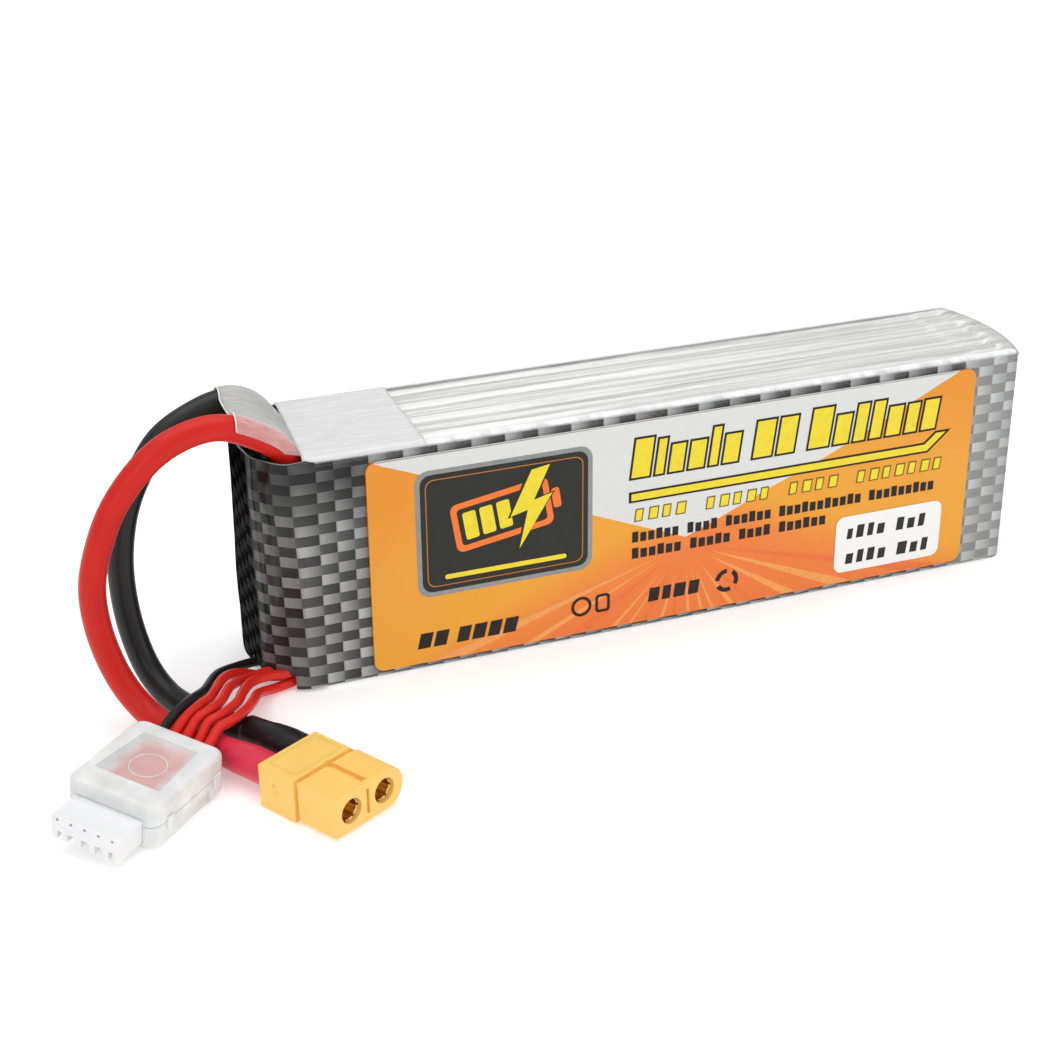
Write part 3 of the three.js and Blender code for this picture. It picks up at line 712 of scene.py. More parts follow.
def apply_modifier(piece, kind, **settings):
    """Gives the piece a modifier and keeps the modified shape as its mesh."""
    modifier = piece.modifiers.new("shape", kind)
    for key, value in settings.items():
        setattr(modifier, key, value)
    bpy.context.view_layer.update()
    evaluated = piece.evaluated_get(bpy.context.evaluated_depsgraph_get())
    mesh = bpy.data.meshes.new_from_object(evaluated)
    old = piece.data
    piece.modifiers.clear()
    piece.data = mesh
    bpy.data.meshes.remove(old)


def bevelled(piece, width, segments=2, angle=40):
    apply_modifier(piece, "BEVEL", width=width * MM, segments=segments, limit_method="ANGLE",
                   angle_limit=math.radians(angle), harden_normals=True)
    return piece


def combine(piece, tools, operation="DIFFERENCE"):
    """Cuts the tools out of the piece, or joins them to it, and removes them."""
    for tool in tools:
        apply_modifier(piece, "BOOLEAN", operation=operation, solver="EXACT", object=tool)
        bpy.data.objects.remove(tool)


def prism_tool(loop, low, high, to_point, place):
    bm = bmesh.new()
    add_prism(bm, loop, low, high, to_point)
    return mesh_object("tool", bm, place)


def rod(low, high, radius, y, z, place, sides=32):
    return prism_tool(circle(y, z, radius, sides), low, high, end_on, place)


def block(low, high, place):
    bm = bmesh.new()
    add_box(bm, low, high)
    return mesh_object("tool", bm, place)


# ---- routes ---------------------------------------------------------------

def catmull_rom(points, per_span):
    """Centripetal curve through the points, as a dense list of points."""
    points = [Vector(p) for p in points]
    ends = [2 * points[0] - points[1]] + points + [2 * points[-1] - points[-2]]
    dense = []
    for p0, p1, p2, p3 in zip(ends, ends[1:], ends[2:], ends[3:]):
        t1 = max((p1 - p0).length, 1e-9) ** 0.5
        t2 = t1 + (p2 - p1).length ** 0.5
        t3 = t2 + max((p3 - p2).length, 1e-9) ** 0.5
        for step in range(per_span):
            t = t1 + (t2 - t1) * step / per_span
            a1 = p0.lerp(p1, t / t1)
            a2 = p1.lerp(p2, (t - t1) / (t2 - t1))
            a3 = p2.lerp(p3, (t - t2) / (t3 - t2))
            b1 = a1.lerp(a2, t / t2)
            b2 = a2.lerp(a3, (t - t1) / (t3 - t1))
            dense.append(b1.lerp(b2, (t - t1) / (t2 - t1)))
    return dense + [points[-1]]


LEAD_RADIUS = 2.25
WIRE_RADIUS = 0.85
# Stations along the connector's axis: where a lead and its sleeve end, and where a lead straightens.
LEAD_END = -4.8
LEAD_STRAIGHT = -9.4
SLEEVE_START = -14.2
SLEEVE_END = -0.3
# How high a lead runs over the floor: at its sleeve's start, where it straightens, and in its socket.
SLEEVE_UP = 3.0
STRAIGHT_UP = 3.4
MAIN_UP = 3.8
SLEEVE_RADIUS = 2.42
SLEEVE_SWELL = 0.36
SLEEVE_WALL = 0.16
SOCKETS = {"red": 3.9, "black": 11.1}
WIRE_PITCH = 2.5
WIRE_UP = 4.4
WIRE_END = -10.1


def on(place, *point):
    """A point of a local frame, in row millimetres."""
    return tuple((place @ Vector(point)) / MM)


def lead_end(colour):
    across = SOCKETS[colour]
    return [on(MAIN, LEAD_STRAIGHT, across, STRAIGHT_UP), on(MAIN, LEAD_END, across, MAIN_UP)]


def wire_end(index):
    return on(GRIP, WIRE_END, (index - 2) * WIRE_PITCH, WIRE_UP)


LEAD_ROUTES = {
    "red": [
        (-66.1, -9.1, 34), (-66.2, -9.1, 39), (-67.8, -9.1, 43.6), (-72.1, -9.1, 46.9), (-77.7, -9.5, 49.3),
        (-83.4, -10, 48.9), (-89.3, -10.5, 46.1), (-95.8, -11, 39.1), (-99.4, -11.1, 31.2),
        (-100.8, -11.4, 25.3), (-100.6, -11.9, 18.5), (-99, -12.7, 11.4), (-97, -14.3, 6.8),
        (-94.4, -17.3, 3.6), (-91.6, -21.7, 2.4), (-88.3, -27, 2.6), (-86.2, -30.4, 3), *lead_end("red")],
    "black": [
        (-66.1, 4.4, 34), (-66.1, 4.4, 39), (-67, 4.4, 43.8), (-70, 4.4, 47), (-74, 4.3, 48.1),
        (-79.7, 3.5, 46.8), (-85.5, 2.5, 43.7), (-89.8, 1.5, 38.1), (-92.3, 0.9, 33), (-94, 0.1, 26.5),
        (-94.6, -1.1, 20.1), (-94.1, -3.1, 12.6), (-92.5, -6.1, 6.2), (-90.3, -10.5, 3.1),
        (-87.6, -15.7, 2.4), (-84.4, -21.1, 2.5), (-80.1, -27, 2.8), *lead_end("black")],
}
BALANCE_ROUTES = [
    [(-64.9, -3.1, 4), (-69.9, -3.7, 2.4), (-74.8, -4.9, 2.8), (-78, -6.7, 3.5), (-81.6, -10.2, 4.8),
     (-85.2, -16.7, 5.9), (-88, -20.2, 6.8), (-90.9, -23.3, 7), (-92.9, -25.6, 6.7),
     (-95.4, -29.7, 6.6), (-98.8, -32.7, 6.2), (-102.7, -35.9, 5.9), wire_end(0)],
    [(-64.9, -6.7, 1.8), (-68.9, -8.4, 1), (-72.8, -8.2, 1.5), (-76.6, -9, 3.3), (-79.6, -11.4, 5),
     (-81.8, -14.8, 6.2), (-85, -20.5, 6.6), (-87.1, -22.9, 7.1), (-89.7, -25.3, 7),
     (-91.6, -27.7, 6.6), (-93.9, -31.3, 6.3), (-97.3, -34.3, 6), (-101, -37.6, 5.7), wire_end(1)],
    [(-64.9, -6.7, 5), (-68.9, -8.8, 3), (-72.8, -9.6, 3.2), (-76.6, -11.4, 3.6), (-79, -14.2, 4.9),
     (-81.1, -17.7, 6.3), (-83.8, -22.9, 6.9), (-85.9, -25.3, 7.3), (-88.4, -26.9, 7),
     (-90.3, -29.5, 6.5), (-92.5, -32.7, 6.1), (-95.8, -35.9, 5.7), (-99.4, -39.3, 5.4), wire_end(2)],
    [(-64.9, -9.1, 5), (-68.9, -10.9, 3), (-72.6, -11.6, 3.4), (-75.4, -13, 4), (-77.5, -15.7, 4.9),
     (-79.5, -19.8, 5.9), (-80.9, -23.2, 6.6), (-82.6, -25.4, 6.9), (-85, -27.8, 7.3),
     (-87.1, -28.8, 7), (-88.7, -31.2, 6.3), (-90.8, -34.3, 5.9), (-94.3, -37.5, 5.5),
     (-97.8, -41, 5.2), wire_end(3)],
    [(-64.9, -9.1, 1.8), (-68.9, -10.9, 1), (-72.1, -11.9, 1), (-75, -14.4, 2.2), (-76.6, -17.9, 4),
     (-77.9, -21.6, 5.4), (-79.5, -25.1, 6.4), (-81.7, -28, 6.9), (-83.7, -30.1, 7.3),
     (-85.7, -31.1, 7.2), (-87.5, -33.2, 6.5), (-89.5, -35.8, 5.8), (-92.7, -39.1, 5.2),
     (-96.2, -42.7, 4.9), wire_end(4)],
]


def cord_piece(name, route, radius, material, node):
    """A round cord along its route, given in row millimetres. Returns it with its points."""
    points = [p * MM for p in catmull_rom(route, 5)]
    data = bpy.data.curves.new(name, "CURVE")
    data.dimensions = "3D"
    data.bevel_depth = radius * MM
    data.bevel_resolution = 5
    data.use_fill_caps = True
    spline = data.splines.new("POLY")
    spline.points.add(len(points) - 1)
    for target, point in zip(spline.points, points):
        target.co = (*point, 1)
    spline.use_smooth = True
    return dress(link(name, data), material, "pack", (node,)), points


def heat_shrink(colour, material):
    """A sleeve over the joint: full over the solder cup, drawn in on the lead."""
    socket = SOCKETS[colour]
    path = catmull_rom([on(MAIN, SLEEVE_START, socket, SLEEVE_UP), *lead_end(colour),
                        on(MAIN, SLEEVE_END, socket, MAIN_UP)], 8)
    radii = []
    for i in range(len(path)):
        swell = SLEEVE_RADIUS + SLEEVE_SWELL / (1 + math.exp(-(i / (len(path) - 1) - 0.35) * 12))
        radii.append(swell + 0.05 * waves(i * 0.35, socket, 0))
    outer = rings_along(path, radii, 32)
    inner = rings_along(path, [radius - SLEEVE_WALL for radius in radii], 32)
    bm = bmesh.new()
    sweep(bm, outer + inner[::-1], closed=True)
    return finish(f"{colour}_sleeve_tube", bm, ROW, material, f"{colour}_heat_shrink")


# ---- main connector -------------------------------------------------------

MAIN_LENGTH = 16.2
MAIN_STEP = 8.2
MAIN_GROOVE = 0.45
MAIN_WIDTH = 15.6
MAIN_HEIGHT = 7.6
MAIN_INSET = 0.4
MAIN_CHAMFER = 3.2
SOCKET_BEND = 3.0
# The sockets narrow at their mouths, and a groove and a slot run between them.
SOCKET_FACE = MAIN_LENGTH - 0.9
SOCKET_RADIUS = 2.4
SOCKET_MOUTH_RADIUS = 2.12
TOP_GROOVE_HALF = 0.62
FACE_SLOT_HALF = 0.27
BARREL_END = MAIN_LENGTH - 0.7


def keyed_section():
    side = MAIN_CHAMFER
    return [(0, 0), (MAIN_WIDTH - side, 0), (MAIN_WIDTH, side), (MAIN_WIDTH, MAIN_HEIGHT - side),
            (MAIN_WIDTH - side, MAIN_HEIGHT), (0, MAIN_HEIGHT)]


def socket_section(margin):
    """The stepped front part: square at the near side, round at the far one."""
    top, middle = MAIN_HEIGHT - margin, MAIN_HEIGHT / 2
    bend = arc(MAIN_WIDTH - margin - SOCKET_BEND, middle, SOCKET_BEND, -90, 90, 12, height=middle - margin)
    return [(margin, margin)] + bend + [(margin, top)]


def main_housing(material):
    """The keyed nylon body: rear block, stepped insert, sockets and moulded grooves."""
    bm = bmesh.new()
    add_prism(bm, keyed_section(), 0, MAIN_STEP - MAIN_GROOVE, end_on)
    piece = finish("connector_body", bm, MAIN, material, "main_connector_housing", smooth=False)
    neck = prism_tool(socket_section(MAIN_INSET + 0.35), MAIN_STEP - MAIN_GROOVE - 0.3, MAIN_STEP + 0.1,
                      end_on, MAIN)
    front = prism_tool(socket_section(MAIN_INSET), MAIN_STEP, MAIN_LENGTH, end_on, MAIN)
    combine(piece, [neck, front], "UNION")
    middle = sum(SOCKETS.values()) / 2
    tools = []
    for across in SOCKETS.values():
        tools.append(rod(-1, SOCKET_FACE, SOCKET_RADIUS, across, MAIN_UP, MAIN))
        tools.append(rod(1, MAIN_LENGTH + 1, SOCKET_MOUTH_RADIUS, across, MAIN_UP, MAIN))
    for low, high in ((MAIN_HEIGHT - 1.2, MAIN_HEIGHT + 1), (-1, 1.2)):
        tools.append(block((MAIN_STEP - 0.6, middle - TOP_GROOVE_HALF, low),
                           (SOCKET_FACE, middle + TOP_GROOVE_HALF, high), MAIN))
    tools.append(block((BARREL_END, middle - FACE_SLOT_HALF, MAIN_UP - 2.2),
                       (MAIN_LENGTH + 1, middle + FACE_SLOT_HALF, MAIN_UP + 2.2), MAIN))
    combine(piece, tools)
    return bevelled(piece, 0.28, segments=3, angle=35)


def panel_marks(material):
    """Raised border of the housing's upper panel, and the gate marks on its side."""
    bm = bmesh.new()
    outer = rounded(0.95, 1.3, 6.9, 11.6, 0.5)
    inner = rounded(1.25, 1.6, 6.6, 11.3, 0.3)
    add_frame(bm, outer, inner, MAIN_HEIGHT - 0.05, MAIN_HEIGHT + 0.07, in_plan)
    for x, z, size in ((3.3, 4.9, 0.34), (4.0, 4.0, 0.26), (3.2, 3.4, 0.22)):
        mark = rounded(x - size, z - size, x + size, z + size, size * 0.9, 4)
        add_prism(bm, mark, -0.08, 0.05, upright)
    return finish("connector_mould_marks", bm, MAIN, material)


def main_contact(pole, socket, material):
    """A gold socket: solder cup behind, split spring barrel in front."""
    # Turned along the connector's axis, as pairs of station and radius.
    profile = [(-0.9, 0.02), (-0.9, 1.6), (-4.5, 1.65), (-4.5, 2.05), (-1.2, 2.1), (-0.8, 1.95),
               (0.2, 1.95), (0.5, 2.1), (BARREL_END - 0.25, 2.1), (BARREL_END, 1.98), (BARREL_END, 1.85),
               (BARREL_END - 0.3, 1.75), (BARREL_END - 8, 1.75), (BARREL_END - 8.6, 0.02)]
    turns = [math.radians(360 * side / 32) for side in range(32)]
    bm = bmesh.new()
    sweep(bm, [[(x, socket + r * math.cos(a), MAIN_UP + r * math.sin(a)) for x, r in profile] for a in turns],
          closed=True)
    piece = finish(f"socket_{pole}", bm, MAIN, material, f"main_contact_{pole}")
    slots = []
    for angle in (0, 60, 120):
        turn = Matrix.Translation((0, socket, MAIN_UP)) @ Matrix.Rotation(math.radians(angle), 4, "X")
        slots.append(block((BARREL_END - 6, -3, -0.16), (BARREL_END + 1, 3, 0.16), MAIN @ turn))
    combine(piece, slots)
    return piece


# ---- balance plug and its grip --------------------------------------------

PLUG_LENGTH = 9.8
PLUG_HALF = 6.1
PLUG_TOP = 5.1
PLUG_LOW = 2.5
PLUG_RIB = 1.0
RIB_FOOT_HALF = 0.55
RIB_TIP_HALF = 0.5
WAY_RADIUS = 0.62
WAY_UP = 4.25
PIN_HOLE_RADIUS = 0.27
GRIP_BACK = -25.1
GRIP_FRONT = -5.9
GRIP_HALF = 8.3
GRIP_WALL = 1.0
GRIP_SPLIT = 3.95
COVER_LOW = 4.05
GRIP_TOP = 7.7
GRIP_CORNER = 2.1
ROOF = GRIP_TOP - GRIP_WALL
# The shallow thumb window in the roof, narrower towards the back.
WINDOW = [(-21.8, -5.0), (-10.4, -6.0), (-10.4, 6.0), (-21.8, 5.0)]
WINDOW_FLOOR = GRIP_TOP - 0.12
# The wires' mouth is wide; the plug's mouth closes on the plug.
MOUTH_HALF = 6.4
MOUTH_LOW = 2.6
PLUG_MOUTH_HALF = 6.14
PLUG_MOUTH_TOP = 5.16


def balance_plug(material):
    """White plug: five ways with small pin holes in front, and guide ribs below."""
    between = [place * WIRE_PITCH for place in (-1.5, -0.5, 0.5, 1.5)]
    centres = [RIB_FOOT_HALF - PLUG_HALF, *between, PLUG_HALF - RIB_FOOT_HALF]
    ribs = []
    for centre in centres:
        ribs += [(centre - RIB_FOOT_HALF, PLUG_LOW), (centre - RIB_TIP_HALF, PLUG_RIB),
                 (centre + RIB_TIP_HALF, PLUG_RIB), (centre + RIB_FOOT_HALF, PLUG_LOW)]
    bm = bmesh.new()
    add_prism(bm, [(-PLUG_HALF, PLUG_TOP), *ribs, (PLUG_HALF, PLUG_TOP)], -PLUG_LENGTH, 0, end_on)
    piece = finish("balance_plug", bm, GRIP, material, "balance_plug_housing", smooth=False)
    tools = []
    for place in range(-2, 3):
        across = place * WIRE_PITCH
        tools.append(rod(-PLUG_LENGTH - 1, -0.7, WAY_RADIUS, across, WAY_UP, GRIP, sides=20))
        tools.append(rod(-1, 1, PIN_HOLE_RADIUS, across, PLUG_TOP - 0.55, GRIP, sides=20))
    combine(piece, tools)
    return bevelled(piece, 0.14)


def grip_shell(name, split, outside, soft, material, node, body):
    """Half of the grip: a hollow block with round plan corners, rounded over towards its outside face."""
    turn = 1 if outside > split else -1
    levels = [(split, 0.0)]
    for angle in (0, 18, 36, 54, 72, 90):
        levels.append((outside - turn * soft * (1 - math.sin(math.radians(angle))),
                       soft * (1 - math.cos(math.radians(angle)))))
    rings = []
    for z, inset in levels:
        outline = rounded(GRIP_BACK + inset, inset - GRIP_HALF, GRIP_FRONT - inset, GRIP_HALF - inset,
                          GRIP_CORNER - inset, 6)
        rings.append([(x, y, z) for x, y in outline])
    bm = bmesh.new()
    sweep(bm, rings)
    return finish(name, bm, GRIP, material, node, body=body, smooth=False)


def grip_hollow(low, high, plug_top, wires_low):
    """Cutters for a shell's inside and for the mouths of the plug and the wires."""
    inside = GRIP_HALF - GRIP_WALL
    return [block((GRIP_BACK + GRIP_WALL, -inside, low), (GRIP_FRONT - GRIP_WALL, inside, high), GRIP),
            block((GRIP_FRONT - 2, -PLUG_MOUTH_HALF, low), (GRIP_FRONT + 1, PLUG_MOUTH_HALF, plug_top), GRIP),
            block((GRIP_BACK - 1, -MOUTH_HALF, wires_low), (GRIP_BACK + 2, MOUTH_HALF, high), GRIP)]


def grip_base(material):
    piece = grip_shell("grip_lower_shell", GRIP_SPLIT, 0, 0.7, material, "grip_base", "pack")
    over = GRIP_SPLIT + 1
    tools = grip_hollow(GRIP_WALL, over, over, MOUTH_LOW)
    # Finger scallops in both long sides.
    for side in (-1, 1):
        low_y, high_y = sorted((side * (GRIP_HALF + 0.5), side * (GRIP_HALF - 0.45)))
        tools.append(block((-20.4, low_y, -1), (-12.2, high_y, GRIP_SPLIT - 1.3), GRIP))
    combine(piece, tools)
    return bevelled(piece, 0.16)


def grip_cover(material):
    piece = grip_shell("grip_upper_shell", COVER_LOW, GRIP_TOP, 1.1, material, "grip_cover", "grip_cover")
    under = COVER_LOW - 1
    window = prism_tool(WINDOW, ROOF - 1, GRIP_TOP + 1, in_plan, GRIP)
    combine(piece, [*grip_hollow(under, ROOF, PLUG_MOUTH_TOP, under), window])
    return bevelled(piece, 0.3, segments=3)


def grip_window(material):
    """The thin, clearer floor of the window, set below the roof."""
    bm = bmesh.new()
    layer = bm.loops.layers.uv.new("place")
    add_prism(bm, grown(WINDOW, 0.05), ROOF, WINDOW_FLOOR, in_plan)
    for face in bm.faces:
        for loop in face.loops:
            loop[layer].uv = (loop.vert.co.y, loop.vert.co.x)
    return finish("grip_window_floor", bm, GRIP, material, body="grip_cover", smooth=False)


def thumb_ring(material):
    """The ring moulded in the window."""
    bm = bmesh.new()
    outer, inner = circle(-15.0, 0.6, 3.05), circle(-15.0, 0.6, 2.85)
    add_frame(bm, outer, inner, WINDOW_FLOOR - 0.05, WINDOW_FLOOR + 0.05, in_plan)
    return finish("grip_thumb_ring", bm, GRIP, material, body="grip_cover")


def grip_latches(material):
    bm = bmesh.new()
    for side in (-1, 1):
        low_y, high_y = sorted((side * (GRIP_HALF + 0.42), side * (GRIP_HALF - 0.02)))
        for low_x, high_x, low_z, high_z in ((-22.9, -21.2, 2.4, 4.9), (-10.6, -9.0, 2.6, 4.7)):
            add_box(bm, (low_x, low_y, low_z), (high_x, high_y, high_z))
    return bevelled(finish("grip_latches", bm, GRIP, material, smooth=False), 0.15, segments=3)


# ---- printed cover --------------------------------------------------------

TILE_WIDTH = 3.0
TILE_HEIGHT = 1.9
TILE_SHIFT = 1.2
# Where the painted shade on the nose begins and where it is full, either side of its front crease.
NOSE_SHADE_START = 0.6
NOSE_SHADE_END = -2.5
# Along the nose's foot, from a crease to the middle of its tip and to where painted shade turns the tip dark.
NOSE_ARC = 17.3
NOSE_TIP = 9.8
COVER_WALL = 0.4
COVER_INSET = 0.3
COVER_SPANS = 24
TAIL_BULGE = 2.8
HEM_RADIUS = 0.9
# The print's end inside the nose: where it starts, and how deep its upper and lower sides lie.
FLAP_START = -2.9
FLAP_TOP = 2.2
FLAP_FOOT = 2.6
# The wires' notch in the nose's foot: its near and far sides and its top.
NOTCH_NEAR, NOTCH_FAR, NOTCH_TOP = 1.0, 12.9, 4.4
# Half of the nose in plan, from the long side to the tip, at the foot and at the top.
NOSE_FOOT = [(3, 0.3), (1.0, 0.3), (0.1, 0.42), (-1.6, 1.3), (-4.2, 3.0), (-6.2, 4.7), (-7.0, 6.8),
             (-7.2, 9.5), (-7.2, 14.1)]
NOSE_TOP = [(3, 0.3), (0.4, 0.32), (-1.5, 0.6), (-3.4, 1.9), (-5.3, 4.0), (-6.5, 6.0), (-7.0, 8.2),
            (-7.2, 10.4), (-7.2, 14.1)]


def nose_half(level):
    """The nose's outline at a height from 0 (foot) to 1 (top), side to tip."""
    points = [Vector((*low, 0)).lerp(Vector((*high, 0)), level) for low, high in zip(NOSE_FOOT, NOSE_TOP)]
    return [(p.x, p.y) for p in catmull_rom(points, 5)]


def tail_bulge(across):
    """How far the tail stands out behind the pack's length, at a distance across the pack."""
    share = across / (PACK_THICK / 2) - 1
    return TAIL_BULGE * max(0.0, 1 - share * share)


def cover_outline(level):
    """Anticlockwise from the middle of the nose's far side round the front to its tip."""
    front = nose_half(level)
    back = [(x, PACK_THICK - y) for x, y in front]
    start = NOSE_FOOT[0][0]
    side = [start + (PACK_LENGTH - start) * i / 40 for i in range(1, 40)]
    tail = []
    for step in range(13):
        across = step / 6 - 1
        tail.append((PACK_LENGTH + TAIL_BULGE * (1 - across * across),
                     PACK_THICK / 2 + across * (PACK_THICK / 2 - COVER_INSET)))
    long_front = [(x, COVER_INSET) for x in side]
    long_back = [(x, PACK_THICK - COVER_INSET) for x in reversed(side)]
    return front[::-1] + long_front + tail + long_back + back[:-1]


def cover_dent(x, y, z):
    """Soft unevenness of the wrapped print, strongest on the nose and at the tail's edges."""
    on_nose = clamped((1.5 - x) / 5)
    at_tail = clamped((x - PACK_LENGTH) / 1.5)
    rough = waves(x * 0.22, y * 0.22, z * 0.10)
    fine = waves(x * 0.6, y * 0.6, z * 0.3 + 9)
    return (0.32 * on_nose + 0.2 * at_tail) * rough + 0.1 * (on_nose + at_tail) * fine


def cover_levels():
    """Heights, hem insets and map heights: the print curls in over both long edges."""
    low, high = COVER_INSET, PACK_HEIGHT - COVER_INSET
    curl = [(HEM_RADIUS * (1 - math.sin(math.radians(a))), HEM_RADIUS * (1 - math.cos(math.radians(a))))
            for a in (90, 70, 50, 35, 20)]
    straight = high - low - 2 * HEM_RADIUS
    levels = [(low + rise, inset) for rise, inset in curl]
    levels += [(low + HEM_RADIUS + straight * i / COVER_SPANS, 0.0) for i in range(COVER_SPANS + 1)]
    levels += [(high - rise, inset) for rise, inset in reversed(curl)]
    return [(z, inset, along) for (z, inset), along in zip(levels, distances(levels))]


def distances(points):
    """How far each point lies along the line through all of them."""
    along = [0.0]
    for first, second in zip(points, points[1:]):
        along.append(along[-1] + math.dist(first, second))
    return along


def cover_rings(outline, z, hem):
    """The print's outer and inner ring at one height."""
    outer, inner = [], []
    for i, (x, y) in enumerate(outline):
        before, after = outline[i - 1], outline[(i + 1) % len(outline)]
        along = Vector((after[0] - before[0], after[1] - before[1])).normalized()
        dent = cover_dent(x, y, z) + hem * clamped((x + 1.5) / 4)
        for ring, reach in ((outer, dent), (inner, dent + COVER_WALL)):
            ring.append((x - along.y * reach, y + along.x * reach, z))
    return outer, inner


def map_runs(outline):
    """Where each side of the outline starts and ends on the map, measured from the nose's front crease.

    Past the back's crease the map carries on from the nose's tip, not from the tail.
    """
    half = len(outline) // 2
    lengths = distances(outline + outline[:1])
    crease = min(range(half), key=lambda i: abs(outline[i][0]) + outline[i][1])
    back_crease = max(range(half, len(outline)), key=lambda i: outline[i][1] - abs(outline[i][0]))
    runs = []
    for i in range(len(outline)):
        shift = lengths[crease] + (lengths[-1] if i >= back_crease else 0.0)
        runs.append((lengths[i] - shift, lengths[i + 1] - shift))
    return runs


def in_notch(vert, top):
    return vert.co.x < -2 and NOTCH_NEAR < vert.co.y < NOTCH_FAR and top < NOTCH_TOP


def add_nose_flap(bm, layer):
    """The print's end folded down inside the nose, short of the leads."""
    half = [(x + 0.5, y + 0.2) for x, y in nose_half(0.95) if x < FLAP_START]
    half.insert(0, (FLAP_START, half[0][1]))
    outline = half + [(x, PACK_THICK - y) for x, y in half[-2::-1]]
    known = set(bm.faces)
    add_prism(bm, outline, PACK_HEIGHT - FLAP_FOOT, PACK_HEIGHT - FLAP_TOP, in_plan)
    for face in set(bm.faces) - known:
        for loop in face.loops:
            loop[layer].uv = (loop.vert.co.x - NOSE_ARC, loop.vert.co.y)


def printed_cover(material):
    """The wrapped print as a closed ring, with a map in millimetres along and up."""
    bm = bmesh.new()
    layer = bm.loops.layers.uv.new("print")
    stations = cover_levels()
    runs = map_runs(cover_outline(stations[0][0] / PACK_HEIGHT))
    outer, inner = [], []
    for z, hem, _ in stations:
        for rings, ring in zip((outer, inner), cover_rings(cover_outline(z / PACK_HEIGHT), z, hem)):
            rings.append([bm.verts.new(point) for point in ring])

    def face(corners, places):
        made = bm.faces.new(corners)
        for loop, place in zip(made.loops, places):
            loop[layer].uv = place

    for k in range(len(stations) - 1):
        top, low, high = stations[k + 1][0], stations[k][2], stations[k + 1][2]
        for i, (start, end) in enumerate(runs):
            j = (i + 1) % len(runs)
            if in_notch(outer[k][i], top) and in_notch(outer[k][j], top):
                continue
            place = [(start, low), (end, low), (end, high), (start, high)]
            face((outer[k][i], outer[k][j], outer[k + 1][j], outer[k + 1][i]), place)
            face((inner[k][j], inner[k][i], inner[k + 1][i], inner[k + 1][j]), place[::-1])
    # Closes the rims at the foot, the top and around the wires' notch.
    match = {a: b for ring_out, ring_in in zip(outer, inner) for a, b in zip(ring_out, ring_in)}
    for edge in [e for e in bm.edges if len(e.link_faces) == 1]:
        a, b = edge.verts
        if a in match and b in match:
            face((a, b, match[b], match[a]), [(0, 0)] * 4)
    for vert in [v for v in bm.verts if not v.link_faces]:
        bm.verts.remove(vert)
    add_nose_flap(bm, layer)
    return finish("printed_wrap", bm, PACK, material, "carbon_print_cover")


# ---- cells, film and tape -------------------------------------------------

CELL_FIRST = 4.0
CELL_PITCH = 6.75
CELL_BACK = 135.5
CELL_LOW = 0.35
CELL_HIGH = 42.65
# Along a pouch: its flat tab seam ends, its full thickness starts, and its folded back starts.
TAB_SEAM_END = 9.0
CELL_FULL = 10.4
CELL_FOLD = 134.6
# The rear seams' start along the pack, their height there and at the rim, and their thickness.
SEAM_START = 126.0
SEAM_HEIGHT = 38.5
SEAM_RIM = 43.4
SEAM_WALL = 0.14
FILM_WALL = 0.22
FILM_RADIUS = 1.45
FILM_EDGE = 1.2
FILM_PULL = 0.03
FILM_SAG = 0.05
FILM_TUCK = 0.52
FILM_TAIL = 133.4
TAIL_ROUND = 1.1
# The tape patch: its near edge and its width across the pack, where it ends along it, and its thickness.
PATCH_NEAR = 0.35
PATCH_WIDTH = 27.4
PATCH_RIGHT = 22.3
PATCH_WALL = 0.16
# The loose film lies on the leads from this height up and out to this station, and past them on both sides.
HOOD_FROM = 43.2
HOOD_TO = -9.2
HOOD_SIDE = 2.6
HOOD_RADIUS = 2.62
HOOD_WALL = 0.12
# Half of a pouch's section, over its top, with the folded side seam as a soft ridge.
CELL_SECTION = [(-3.1, 4), (-3.08, 38.5), (-2.85, 40.6), (-2.4, 41.5), (-1.75, 41.95), (-1.0, 42.15),
                (-0.2, 42.0), (0.35, 41.75), (0.8, 41.9), (1.35, 42.35), (2.0, 42.6), (2.6, 42.45),
                (2.95, 41.9), (3.08, 40.2), (3.1, 38.5)]


def cell_top(y):
    """The height of the cells' tops at a distance across the pack."""
    index = clamped(round((y - CELL_FIRST) / CELL_PITCH), 0, 3)
    aside = y - CELL_FIRST - index * CELL_PITCH
    for (a, low), (b, high) in zip(CELL_SECTION[1:], CELL_SECTION[2:]):
        if a <= aside <= b:
            return low + (high - low) * (aside - a) / (b - a)
    return CELL_SECTION[-1][1]


def cell_thinning(x):
    """A pouch's thickness as a share of its full one: thin at the tab seam, and a little at its back."""
    if x < CELL_FULL:
        return 0.14 + 0.86 * max(0.0, (x - TAB_SEAM_END) / (CELL_FULL - TAB_SEAM_END)) ** 0.8
    return 0.9 if x > CELL_FOLD + 0.1 else 1.0


